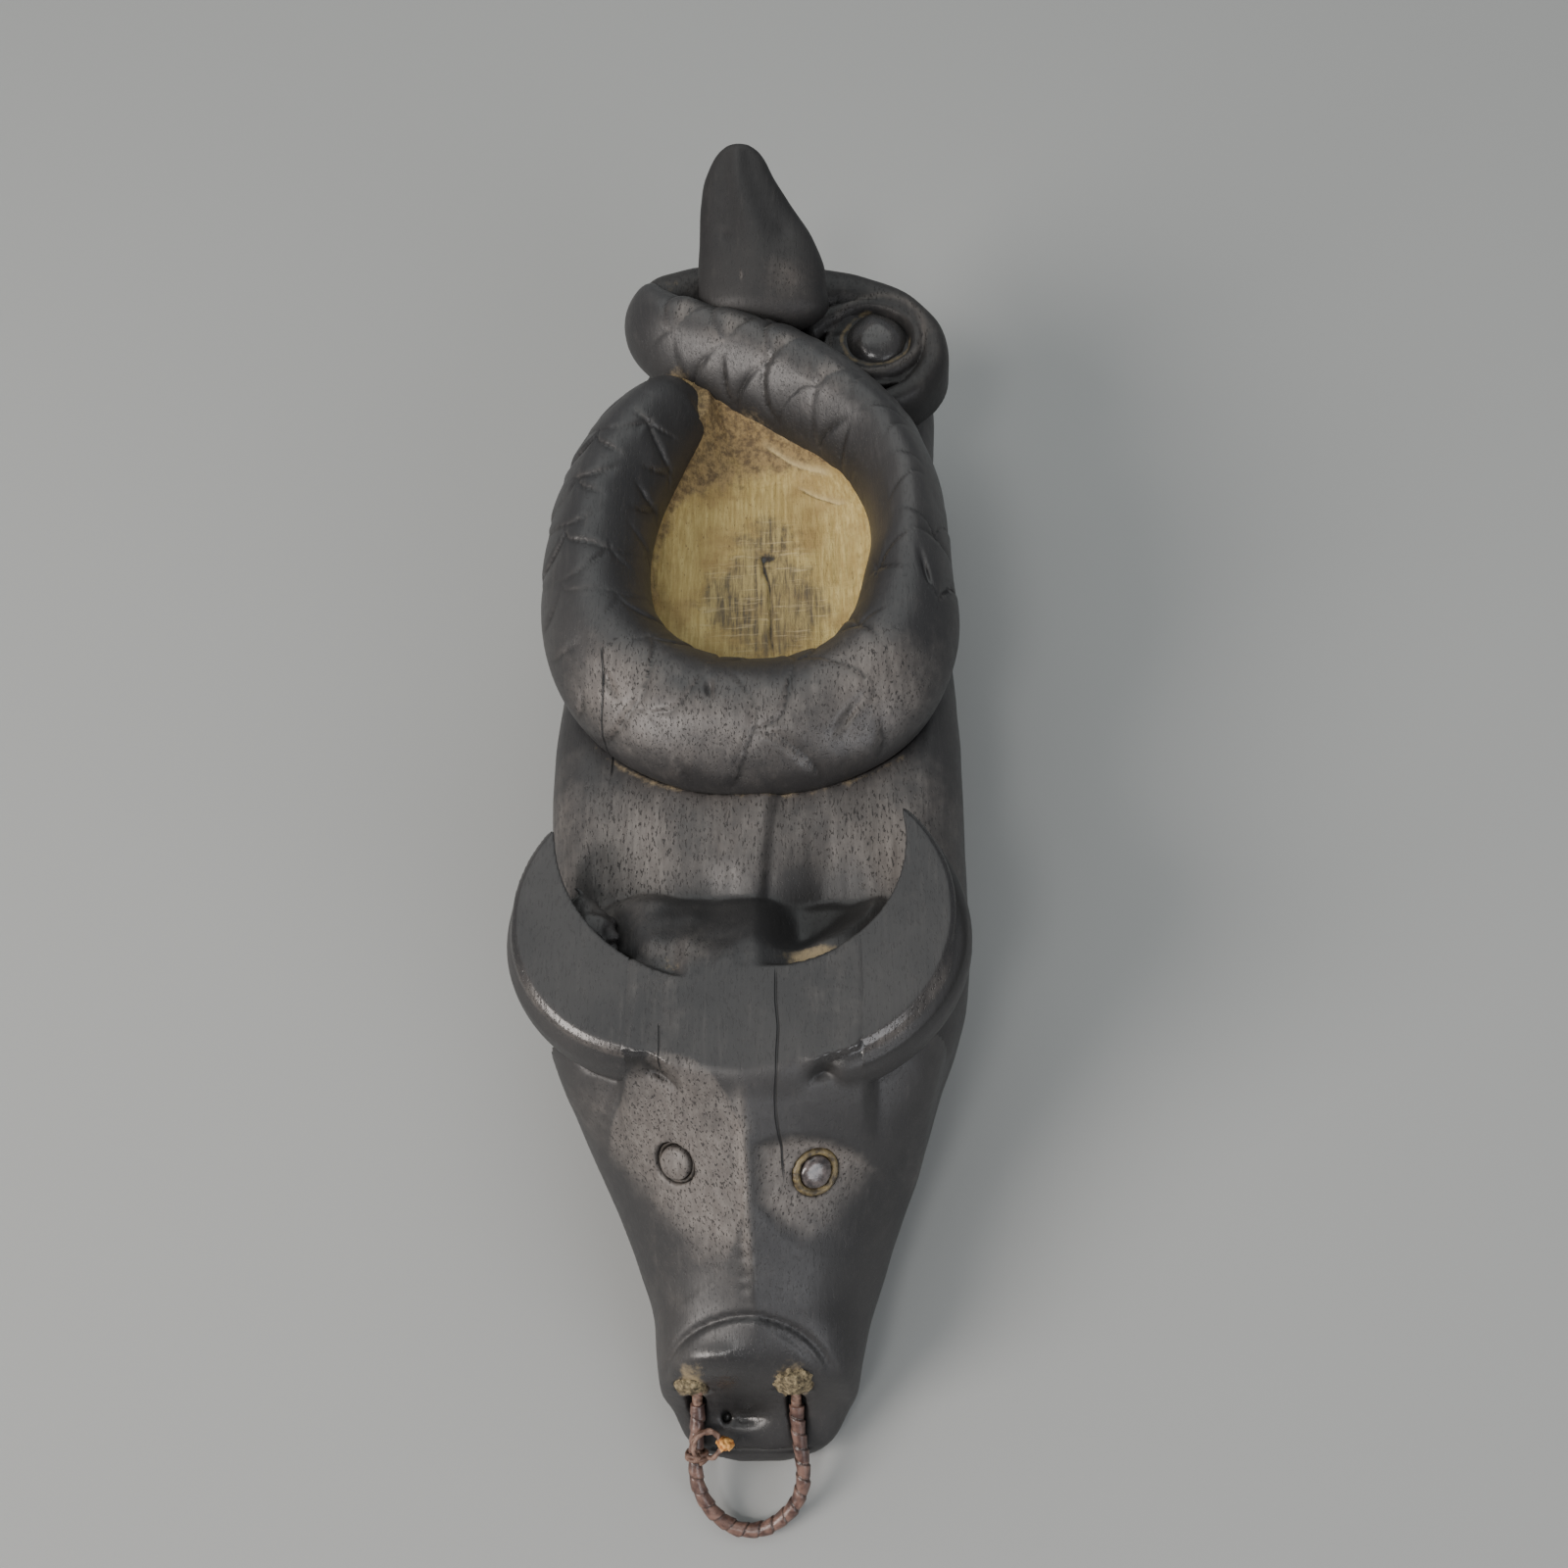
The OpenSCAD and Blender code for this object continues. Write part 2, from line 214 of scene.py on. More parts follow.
def tube_faces(rings, sides):
    """Quads of a tube whose points run ring by ring."""
    i, j = np.meshgrid(np.arange(rings - 1), np.arange(sides), indexing="ij")
    a = i * sides + j
    b = i * sides + (j + 1) % sides
    return np.stack([a, b, b + sides, a + sides], -1).reshape(-1, 4)


def ribbon(name, rings):
    """A closed tube from rings of points, its ends drawn to their middles."""
    rings = np.asarray(rings)
    count, sides = rings.shape[:2]
    points = rings.reshape(-1, 3)
    faces = tube_faces(count, sides)
    ends = []
    for ring, flip in ((0, True), (count - 1, False)):
        middle = len(points) + len(ends)
        ends.append(rings[ring].mean(0))
        for j in range(sides):
            a, b = ring * sides + j, ring * sides + (j + 1) % sides
            faces = np.vstack([faces, [b, a, middle, middle] if flip else [a, b, middle, middle]])
    points = np.vstack([points, ends])
    triangles = np.vstack([faces[:, [0, 1, 2]], faces[:, [0, 2, 3]]])
    triangles = triangles[(triangles[:, 0] != triangles[:, 2]) & (triangles[:, 1] != triangles[:, 2])]
    return make_mesh(name, points, triangles), points


def along(path, step):
    """A path's rows refined by Catmull-Rom to about step apart, with the distance along it."""
    path = np.asarray(path, float)
    padded = np.vstack([2 * path[0] - path[1], path, 2 * path[-1] - path[-2]])
    rows = []
    for i in range(len(path) - 1):
        a, b, c, d = padded[i:i + 4]
        n = max(2, int(np.linalg.norm(c[:2] - b[:2]) / 0.25))
        t = (np.arange(n) / n)[:, None]
        rows.append(0.5 * (2 * b + (c - a) * t + (2 * a - 5 * b + 4 * c - d) * t ** 2
                           + (3 * b - a - 3 * c + d) * t ** 3))
    rows = np.vstack(rows + [path[-1:]])
    dist = np.concatenate([[0], np.cumsum(np.linalg.norm(np.diff(rows[:, :3], axis=0), axis=1))])
    at = np.linspace(0, dist[-1], max(4, int(dist[-1] / step)))
    return np.stack([np.interp(at, dist, rows[:, k]) for k in range(rows.shape[1])], 1), at


def paint(obj, **marks):
    """Stores what a material reads on each point, such as its wear, painted sheen and painted shade. A mark
    not stored reads 0.
    """
    for name, values in marks.items():
        attribute = obj.data.attributes.new(name, "FLOAT", "POINT")
        full = np.zeros(len(obj.data.vertices), np.float32)
        full[:] = np.clip(values, 0, 1)
        attribute.data.foreach_set("value", full)


def place(obj, material, body, slot, *nodes):
    """Gives a piece its material and body, and hides the CAD nodes that it stands for. The slot is not used.
    """
    obj.data.materials.clear()
    obj.data.materials.append(material)
    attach(obj, body)
    if nodes:
        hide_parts(*nodes)
    return obj


# ---------------------------------------------------------------- materials

class Nodes:
    """Short calls for building a material's node tree."""

    def __init__(self, name):
        self.material = bpy.data.materials.new(name)
        self.material.use_nodes = True
        self.tree = self.material.node_tree
        self.tree.nodes.clear()
        self.shader = self.add("ShaderNodeBsdfPrincipled")
        output = self.add("ShaderNodeOutputMaterial")
        self.link(self.shader.outputs["BSDF"], output.inputs["Surface"])
        self.coords = self.add("ShaderNodeTexCoord").outputs["Object"]

    def add(self, kind, **settings):
        node = self.tree.nodes.new(kind)
        for key, value in settings.items():
            setattr(node, key, value)
        return node

    def link(self, source, target):
        if isinstance(source, (int, float)):
            target.default_value = source
        elif isinstance(source, tuple):
            target.default_value = (*source, 1) if len(source) == 3 else source
        else:
            self.tree.links.new(source, target)

    def noise(self, scale, detail=3, rough=0.5, stretch=(1, 1, 1), tilt=0.0):
        mapping = self.add("ShaderNodeMapping")
        mapping.inputs["Scale"].default_value = stretch
        mapping.inputs["Rotation"].default_value = (0, 0, tilt)
        self.link(self.coords, mapping.inputs["Vector"])
        node = self.add("ShaderNodeTexNoise")
        self.link(mapping.outputs[0], node.inputs["Vector"])
        node.inputs["Scale"].default_value = scale
        node.inputs["Detail"].default_value = detail
        node.inputs["Roughness"].default_value = rough
        return node.outputs["Fac"]

    def math(self, kind, a, b=0.0):
        node = self.add("ShaderNodeMath", operation=kind)
        self.link(a, node.inputs[0])
        self.link(b, node.inputs[1])
        return node.outputs[0]

    def times(self, a, b):
        return self.math("MULTIPLY", a, b)

    def stir(self, value, noise, amount):
        """A value moved up and down by a noise round 0.5."""
        return self.math("ADD", value, self.times(self.math("SUBTRACT", noise, 0.5), amount))

    def ramp(self, value, low, high, out_low=0.0, out_high=1.0):
        node = self.add("ShaderNodeMapRange", interpolation_type="SMOOTHSTEP")
        self.link(value, node.inputs["Value"])
        numbers = {"From Min": low, "From Max": high, "To Min": out_low, "To Max": out_high}
        for socket, number in numbers.items():
            node.inputs[socket].default_value = number
        return node.outputs["Result"]

    def mix(self, amount, a, b):
        node = self.add("ShaderNodeMix", data_type="RGBA")
        self.link(amount, node.inputs[0])
        self.link(a, node.inputs[6])
        self.link(b, node.inputs[7])
        return node.outputs[2]

    def mark(self, name):
        return self.add("ShaderNodeAttribute", attribute_name=name).outputs["Fac"]

    def axis(self, name):
        node = self.add("ShaderNodeSeparateXYZ")
        self.link(self.coords, node.inputs[0])
        return node.outputs[name]

    def line(self, x0, y0, y1, width, wander=0.0006):
        """A thin crack along Y at x0, from y0 to y1, in metres."""
        wavy = self.stir(self.axis("X"), self.noise(60, 2), wander * 4)
        off = self.math("ABSOLUTE", self.math("SUBTRACT", wavy, x0))
        thin = self.ramp(off, width, width * 0.3)
        middle, reach = (y0 + y1) / 2, abs(y1 - y0) / 2
        far = self.math("ABSOLUTE", self.math("SUBTRACT", self.axis("Y"), middle))
        return self.times(thin, self.ramp(far, reach, reach * 0.8))

    def bump(self, height, distance, strength=1.0, after=None):
        node = self.add("ShaderNodeBump")
        node.inputs["Strength"].default_value = strength
        node.inputs["Distance"].default_value = distance
        self.link(height, node.inputs["Height"])
        if after is not None:
            self.link(after, node.inputs["Normal"])
        return node.outputs["Normal"]

    def finish(self, color, roughness, normal=None, specular=0.5):
        self.link(color, self.shader.inputs["Base Color"])
        self.link(roughness, self.shader.inputs["Roughness"])
        self.shader.inputs["Specular IOR Level"].default_value = specular
        if normal is not None:
            self.link(normal, self.shader.inputs["Normal"])
        return self.material


# Cracks along the grain: x, first y, last y and width, in metres.
CRACKS = (0.0055, -0.074, -0.041, 0.0003), (-0.0135, -0.058, -0.051, 0.0002), (-0.0262, 0.0015, 0.020, 0.0003)


def dark_wood(name, specular):
    """Near-black oiled hardwood: paler where worn and where sheen, highlights and lit facets are painted in,
    with open pores, dust in its cuts and cracks, and painted shade in cuts, hollows and seams.
    """
    n = Nodes(name)
    worn, residue, deep, gloss = (n.mark(mark) for mark in ("worn", "residue", "deep", "gloss"))
    streak = n.noise(1, 4, 0.6, stretch=(1100, 110, 600), tilt=0.06)
    pore = n.noise(1, 2, 0.5, stretch=(2900, 800, 2400), tilt=0.06)
    broad = n.noise(45, 3)
    fine = n.noise(700, 3, 0.6)
    wear_and_sheen_patch = n.ramp(n.stir(worn, n.noise(210, 5, 0.7), 0.8), 0.0, 1.0)
    base = n.mix(n.ramp(broad, 0.35, 0.7), (0.019, 0.0185, 0.019), (0.029, 0.0278, 0.0275))
    base = n.mix(n.ramp(streak, 0.5, 0.85), base, (0.036, 0.034, 0.033))
    # Paler colour for rubbed patches, also used for the painted sheen, highlights and lit facets.
    pale_wear_and_sheen = n.mix(n.ramp(streak, 0.35, 0.7), (0.104, 0.090, 0.081), (0.160, 0.143, 0.129))
    color = n.mix(n.times(wear_and_sheen_patch, 0.9), base, pale_wear_and_sheen)
    hole = n.times(n.ramp(pore, 0.59, 0.67), n.ramp(worn, 0.08, 0.6, 0.12, 0.78))
    color = n.mix(hole, color, (0.008, 0.007, 0.007))
    dust = n.ramp(n.stir(residue, n.noise(420, 4, 0.7), 1.0), 0.35, 0.8)
    color = n.mix(n.times(dust, 0.85), color, (0.24, 0.185, 0.105))
    # Painted shade: near black in cuts, hollows, grooves and seams.
    color = n.mix(deep, color, (0.006, 0.0055, 0.005))
    crack = n.line(*CRACKS[0])
    for place in CRACKS[1:]:
        crack = n.math("MAXIMUM", crack, n.line(*place))
    crack = n.times(crack, n.ramp(n.axis("Z"), 0.04, 0.05))
    color = n.mix(crack, color, (0.006, 0.006, 0.006))
    rough = n.math("SUBTRACT", n.ramp(wear_and_sheen_patch, 0.0, 1.0, 0.49, 0.58), n.times(gloss, 0.27))
    rough = n.stir(rough, fine, 0.16)
    rough = n.math("ADD", rough, n.times(dust, 0.3))
    normal = n.bump(n.math("ADD", hole, crack), 0.00025, 0.9)
    normal.node.invert = True
    normal = n.bump(streak, 0.00014, 0.5, normal)
    normal = n.bump(broad, 0.0011, 0.3, normal)
    return n.finish(color, rough, normal, specular)


def pale_wood():
    """Raw ochre wood, scraped along and across, with grey smudges, brown stains, and painted shade in its
    cuts and along the coil's edge.
    """
    n = Nodes("pale_wood")
    smudge, stain, dark, scrape = (n.mark(mark) for mark in ("smudge", "stain", "deep", "scrape"))
    grain = n.noise(1, 5, 0.65, stretch=(1500, 120, 900))
    cross = n.noise(1, 4, 0.6, stretch=(130, 1500, 900))
    cloud = n.noise(110, 4, 0.6)
    speck = n.noise(1, 3, 0.7, stretch=(2400, 700, 900), tilt=0.5)
    color = n.mix(n.ramp(grain, 0.35, 0.7), (0.32, 0.235, 0.085), (0.47, 0.37, 0.155))
    color = n.mix(n.ramp(cloud, 0.42, 0.72), color, (0.26, 0.18, 0.07))
    color = n.mix(n.ramp(speck, 0.6, 0.7, 0.0, 0.75), color, (0.14, 0.09, 0.04))
    lines = n.times(n.ramp(cross, 0.55, 0.68), n.ramp(smudge, 0.1, 0.6))
    grey = n.ramp(n.stir(smudge, n.noise(240, 5, 0.7), 1.5), 0.3, 0.8)
    grey = n.times(grey, n.ramp(grain, 0.3, 0.62, 1.0, 0.35))
    color = n.mix(n.times(grey, 0.85), color, (0.055, 0.05, 0.046))
    color = n.mix(n.times(lines, 0.4), color, (0.52, 0.43, 0.25))
    brown = n.ramp(n.stir(stain, n.noise(200, 5, 0.75), 1.5), 0.3, 0.8)
    earth = n.mix(n.ramp(n.noise(620, 5, 0.75), 0.38, 0.62), (0.085, 0.058, 0.034), (0.25, 0.178, 0.085))
    color = n.mix(n.times(brown, 0.9), color, earth)
    color = n.mix(scrape, color, (0.50, 0.40, 0.21))
    # Painted shade: near black in the cracks, pits and scratches and along the coil's edge.
    black = n.ramp(n.stir(dark, n.noise(300, 4, 0.7), 0.7), 0.35, 0.75)
    color = n.mix(black, color, (0.03, 0.026, 0.023))
    normal = n.bump(grain, 0.0005, 0.8)
    normal = n.bump(cross, 0.0004, 0.5, normal)
    normal = n.bump(speck, 0.0004, 0.5, normal)
    return n.finish(color, 0.72, normal, 0.3)


def plain(name, low, high, scale, rough, bump=0.0002, specular=0.4, stretch=(1, 1, 1)):
    """Two colours mottled by noise, with a matching bump, and near black where painted shade is marked."""
    n = Nodes(name)
    mottle = n.noise(scale, 4, 0.6, stretch=stretch)
    color = n.mix(n.ramp(mottle, 0.35, 0.65), low, high)
    dark = n.mark("deep")
    # Painted shade: near black where marked.
    color = n.mix(dark, color, (0.012, 0.009, 0.007))
    return n.finish(color, rough, n.bump(mottle, bump, 0.8), specular)


DARK = dark_wood("dark_wood", 0.46)
MATTE = dark_wood("dark_wood_matte", 0.24)
PALE = pale_wood()
BEDDING = plain("bedding", (0.035, 0.026, 0.016), (0.17, 0.13, 0.062), 700, 0.45, 0.0004)
LEFT_BEDDING = plain("left_bedding", (0.02, 0.018, 0.016), (0.06, 0.05, 0.042), 900, 0.6)
GLOSS = plain("eye_gloss", (0.03, 0.026, 0.026), (0.12, 0.10, 0.095), 600, 0.16, 0.0001, 0.6)
PACKING = plain("packing", (0.05, 0.04, 0.025), (0.23, 0.185, 0.11), 1300, 0.85, 0.0005, 0.2)
CORD = plain("cord", (0.075, 0.04, 0.028), (0.19, 0.115, 0.085), 800, 0.55)
BINDING = plain("binding", (0.05, 0.026, 0.021), (0.155, 0.09, 0.07), 500, 0.34, 0.00025, 0.5)
AMBER = plain("tie_end", (0.28, 0.10, 0.025), (0.62, 0.33, 0.1), 900, 0.7, 0.0004, 0.3)


# ---------------------------------------------------------------- the block

# Each curve takes y, from the muzzle's tip at -110 to the tail's end at 130, unless it says otherwise.
half_width = curve((-110.2, 5.5), (-109.2, 9.6), (-108, 12.4), (-106, 14.8), (-103, 16.4), (-100, 17.3),
                   (-95.5, 18.1), (-90, 19.3), (-85, 21), (-80, 22.9), (-74, 25.2), (-68, 27.5),
                   (-63, 29.4), (-56, 32), (-51, 33.8), (-46, 35.8), (-42, 37.1), (-37, 38.3), (-30, 39),
                   (-18, 39.4), (8, 39.4), (44, 39), (64, 38.2), (80, 36.4), (94, 35), (106, 33.4),
                   (115, 29.5), (122, 23), (127, 15.5), (129.6, 6))
base_width = curve((-110, 5), (-107, 9.5), (-101.5, 12.4), (-95.5, 13.8), (-85, 16.6), (-74, 20),
                   (-63, 23.5), (-51, 27), (-37, 30), (-18, 32), (24, 32), (64, 31), (80, 29), (94, 27),
                   (106, 25), (115, 21), (122, 15), (129.6, 4))
widest_z = curve((-110, 4), (-107, 9), (-103, 14), (-98, 18), (-90, 20), (-74, 25), (-56, 29), (-30, 30),
                 (24, 29), (129, 24))
centre_x = curve((-110, -1.4), (-98, -0.6), (-85, 0), (-68, 0), (-51, -0.6), (-40, -0.3), (-30, 0),
                 (44, 0.1), (64, 0.4), (80, 1), (94, 3), (106, 5), (129, 5.2))
edge_rounding = curve((-110, 3), (-104, 6), (-95, 10), (-80, 13), (-64, 12), (-56, 8), (-46, 8), (-38, 12),
                      (-10, 12), (4, 8), (20, 7), (129, 7))
muzzle_top = curve((-110.4, 3.5), (-109.6, 6.6), (-108.8, 8.2), (-107.4, 10.2), (-105.4, 12.4),
                   (-103.6, 14.6), (-102.4, 17), (-101.5, 21), (-100.6, 24.8), (-98.8, 28.6),
                   (-96.4, 31.6), (-93, 34.4), (-90, 36.4), (-86, 39.6), (-80, 44.8), (-74, 50),
                   (-68, 55.4), (-62, 60.8), (-60, 62.4), (-50, 69), (-40, 77))
neck_top = curve((-40, 47), (-34, 48.4), (-28, 49.6), (-22, 51.2), (-16, 52.6), (-8, 53.6), (0, 54),
                 (12, 53.4), (24, 51), (36, 47.6))
face_slope = curve((-100, 0.02), (-93, 0.2), (-84, 0.46), (-72, 0.52), (-62, 0.34), (-56, 0.26))
# The drop from the brow to the neck, by the distance behind the brow's rear edge.
steep_fall = curve((-1, 62), (0, 61.8), (0.5, 59.6), (1.3, 58), (4, 57), (6, 53.4), (9, 49.6), (14, 48.4))
gentle_fall = curve((-1, 62), (2, 61.9), (5, 61.1), (9, 58.8), (13, 55.6), (18, 52), (24, 49.6))

# A horn's plan lies inside its outer circle and outside its inner one, each (centre x, centre y, radius).
# Its flare is how far the side swells past the outer circle, by z.
HORNS = {
    "left": dict(side=-1, outer=(-13.8, -30.2, 26.1), inner=(-2.3, -12.9, 31.2),
                 flare=curve((42, -9), (45, -4), (48, -0.4), (51, 1.6), (54, 2.3), (57, 2.1), (59.5, 1.2),
                             (61, 0.35), (62, 0))),
    "right": dict(side=1, outer=(8.8, -30.9, 27.0), inner=(4.2, -17.8, 23.5),
                  flare=curve((42, -9), (45, -3.5), (48, 0.6), (51, 2.6), (54, 3.3), (57, 3.2),
                              (59.6, 2.3), (60.6, 0.9), (61.2, -0.2), (62, 0))),
}


def past_circle(x, y, circle):
    """How far a point is outside a circle of (centre x, centre y, radius)."""
    return np.hypot(x - circle[0], y - circle[1]) - circle[2]


def horn_field(which, x, y, z):
    """A crescent with a flat top, a flared outer side, an undercut inner side and a thinning underside."""
    horn = HORNS[which]
    near_tip = ease(y, -44, -14)
    swell = horn["flare"](z + near_tip * 2.5) * (1 - 0.55 * near_tip)
    outside = (past_circle(x, y, horn["outer"]) - swell) * 0.85
    inside = 0.26 * (BROW_Z - z) * ease(y, -40, -28) - past_circle(x, y, horn["inner"])
    plan = smooth_max(outside, inside, 1.6)
    underside = 46.5 + 6.5 * near_tip - z
    top = z - BROW_Z - 0.05 * noise(x, y, 0, 9, 3)
    bevel = (outside + top + 0.85) * 0.72
    return np.maximum(np.maximum(smooth_max(plan, underside, 3.0), top), bevel)


def behind_brow(x, y):
    """Distance behind the flat brow's rear edge, which follows the insides of both horns."""
    left, right = (-past_circle(x, y, HORNS[which]["inner"]) for which in ("left", "right"))
    blend = ease(x, -8, 6)
    return left * (1 - blend) + right * blend


def before_brow(x, y):
    """Distance in front of the flat brow's front edge: the horns' outsides, and a soft edge between them."""
    left, right = (past_circle(x, y, HORNS[which]["outer"]) for which in ("left", "right"))
    beside = ease(np.abs(x + 1), 7, 15)
    return np.where(x < 0, left, right) * beside + (-60.5 - y) * (1 - beside)


def right_lens(x, y):
    """The knife-cut facet round the right eye, with an arched upper edge."""
    arch = -66.6 - 0.022 * (x - 11.5) ** 2 - y
    low = y + 83 - 0.06 * (x - 11) ** 2
    return np.clip(np.minimum(np.minimum(arch, low * 0.35), np.minimum(x - 0.8, 24 - x) * 0.5), 0, 1.3) / 1.3


def muzzle_arc(x, y, size=1.0):
    """1 along the arc cut over the muzzle."""
    reach = np.sqrt(((x + 2) / (14.5 * size)) ** 2 + ((y + 101.4) / (9.5 * size)) ** 2)
    return hump(reach - 1, 0.055) * ease(y, -101, -97)


def face_height(x, y, across, front, middle):
    """The muzzle and the two-sided nose, up to where the brow cuts them off."""
    fall = face_slope(y) * np.sqrt(across ** 2 + 0.12) + 0.0026 * across ** 2.3 * ease(-y, 46, 70)
    face = muzzle_top(y) - fall
    face = face + 0.35 * hump(across, 0.7) * ease(y, -92, -88) * ease(y, -60, -70)
    ticks = np.clip(np.sin(y * 2.9 + 0.6 * np.sin(y)), 0, 1) * hump(x + 1.1, 0.8)
    face = face - 0.3 * ticks * ease(y, -91, -88) * ease(y, -68, -74)
    crevice = hump(front - 0.9, 0.8) * ease(across, 9, 14) * ease(across, 31, 26)
    face = face - 1.7 * crevice + 10 * ease(-front, -0.3 - 2.5 * middle, 1.0 + 6 * middle)
    face = face - 1.0 * right_lens(x, y) - 1.1 * scoop(x, y, -14, -72, 14, 17)
    face = face - 0.8 * muzzle_arc(x, y) - 0.5 * muzzle_arc(x, y, 0.86) * ease(x, 1, 6)
    face = face + 1.0 * scoop(x, y, -2, -100.4, 13.6, 8.6) * ease(y, -104, -98)
    face = face + spots(x, y, (2.4, -6.5, -98.6, 6.5, 2.6), (-3.0, -3.4, -103.6, 4.6, 1.9))
    return face + 0.1 * noise(x, y, 0, 6, 15)


def brow_height(x, y):
    """Height of the carved top: muzzle, two-sided nose, flat brow, hollow and neck."""
    across = np.abs(x - 0.25 * np.sin(y / 9))
    middle = ease(across, 13, 9)
    front, back = before_brow(x, y), behind_brow(x, y)
    brow = BROW_Z + 0.06 * noise(x, y, 0, 12, 5)
    head = smooth_min(face_height(x, y, across, front, middle), brow, 0.5 + 5.5 * middle)
    bump = ease(x, 9, 1)
    step = 1.7 * ease(-x, 9, 12.5) * ease(back, 0, 0.7) * (1 - 0.6 * ease(back, 4, 12))
    fall = steep_fall(back) * (1 - bump) + (gentle_fall(back) - step) * bump
    beyond = 12 * ease(across, 14, 32) * ease(back, 0, 1.5)
    fall = fall - beyond - 14 * ease(y, -26, -14) + 0.35 * noise(x, y, 0, 3.2, 16) * ease(back, 0.5, 2)
    fall = fall - 12 * ease(across, 19.1, 19.9) * ease(back, 1.5, 0)
    neck = neck_top(y) - 0.003 * x ** 2 * ease(y, -36, -20)
    neck = neck - spots(x, y, (3.6, 14, -26, 8, 7), (1.6, 13, -16, 5, 6), (1.0, -4, -23, 9, 4))
    lean = x - 0.12 * (y + 10)
    crest = ease(lean, -8, 2.6) * ease(lean, 5.0, 2.6)
    neck = neck + 1.9 * crest * ease(y, -29, -20) * ease(y, 1, -5)
    neck = neck + 0.3 * noise(x, y * 0.6, 0, 5, 9) + 0.12 * noise(x, y * 0.25, 0, 1.6, 10)
    top = np.where(y < -50, head, np.minimum(head, smooth_max(fall, neck, 1.6)))
    under_horn = ease(across, 19.1, 19.9) * ease(-front, -1, 0) * ease(y, -46, -50)
    beside = ease(across, 19, 22) * ease(-y, 30, 40)
    return top - 5 * under_horn - 5.0 * beside * ease(front, -2, 1.6) * ease(front, 13, 2.5)


def leg_room(which, x, y, z, radius):
    """Distance outside the space that a leg of the ring sweeps between rest and fully raised."""
    sideways = x - (PIVOT[0] + which * LEG_X) - which * 0.045 * (PIVOT[1] - y)
    forward, up = PIVOT[1] - y, z - PIVOT[2]
    reach = np.hypot(forward, up)
    angle = np.arctan2(up, forward)
    off = np.maximum(np.maximum(-RING_DROOP - angle, angle - (RING_RAISE - RING_DROOP)), 0)
    flat = np.where(off < math.pi / 2, reach * np.sin(np.minimum(off, math.pi / 2)), reach)
    return np.sqrt(flat ** 2 + sideways ** 2) - radius


EYES = {
    "left": dict(at=(-12.6, -69.6, 0), lean=-26, plug=2.95, socket=3.85),
    "right": dict(at=(11.0, -71.2, 0), lean=26, plug=2.85, socket=4.2),
}
EYE_TILT = 38


def eye_matrix(which):
    eye = EYES[which]
    x, y, _ = eye["at"]
    z = float(brow_height(np.array([[x]]), np.array([[y]]))[0, 0])
    tilt, lean = (Matrix.Rotation(math.radians(angle), 4, axis)
                  for angle, axis in ((EYE_TILT, "X"), (eye["lean"], "Y")))
    return Matrix.Translation((x, y, z)) @ tilt @ lean


def eye_local(which, x, y, z):
    inverse = np.array(eye_matrix(which).inverted())
    return [inverse[i, 0] * x + inverse[i, 1] * y + inverse[i, 2] * z + inverse[i, 3] for i in range(3)]


def seat_height(x, y):
    """Highest the block may reach: the deck inside and behind the loop, and the coil's underside round it."""
    out, axis, tall = nearest_rows(SEATED_COIL, x, y, 2.0)
    under = axis - tall * np.sqrt(np.clip(1 - out ** 2, 0, 1)) - 0.1
    inside = np.hypot(x - 1.5, y - 38) < 30
    return np.where((y > 36) | inside, 47.6, np.where(out < 1, np.maximum(under, 47.6), 99.0))


def block_field(x, y, z):
    side = np.abs(x - centre_x(y))
    rise = np.clip(z / widest_z(y), 0, 1)
    reach = base_width(y) + (half_width(y) - base_width(y)) * np.sin(math.pi / 2 * rise)
    flank = side - reach + 0.12 * noise(0, y, z, 14, 2) + 0.16 * noise(0, y, z, 6, 22)
    height = brow_height(x, y)
    plan_x, plan_y = np.broadcast_arrays(x[:, :, 0], y[:, :, 0])
    height = np.minimum(height, seat_height(plan_x, plan_y)[..., None])
    roof = (z - height) * 0.72
    solid = smooth_max(flank, roof, edge_rounding(y))
    solid = smooth_max(solid, -110.0 - y, 2.0)
    solid = smooth_max(solid, (y - 129.8), 4.0)
    solid = smooth_max(solid, -z, 1.2)
    for which, horn in HORNS.items():
        along_x = horn["side"] * x
        root = horn_field(which, x, y, z) + 3 * ease(along_x, 17, 11) + 0.04
        solid = smooth_min(solid, np.maximum(root, along_x - HORN_JOINT_X - 1.2), 0.6)
    for which, eye in EYES.items():
        a, b, c = eye_local(which, x, y, z)
        wall = np.hypot(a, b) - eye["socket"] - 0.12 * noise(x, y, z, 2.2, 6)
        solid = np.maximum(solid, -np.maximum(wall, -5 - c))
    for side_sign in (-1, 1):
        solid = smooth_max(solid, -leg_room(side_sign, x, y, z, 1.75), 0.4)
        cx = PIVOT[0] + side_sign * LEG_X
        pocket = np.sqrt(((x - cx) / 2.9) ** 2 + ((y + 100.6) / 2.7) ** 2 + ((z - 21.8) / 3.2) ** 2) - 1
        solid = smooth_max(solid, -pocket * 2.7 + 0.25 * noise(x, y, z, 1.8, 8), 0.7)
    drilled = np.maximum(np.hypot(x + 6.7, y + 104.0) - 0.9, 9.5 - z)
    solid = np.maximum(solid, -drilled)
    slit = np.maximum(np.maximum(np.abs(z - 7.4) - 0.42, y + 107.4), np.abs(x + 1.2) - 8.6)
    solid = np.maximum(solid, -slit)
    return solid


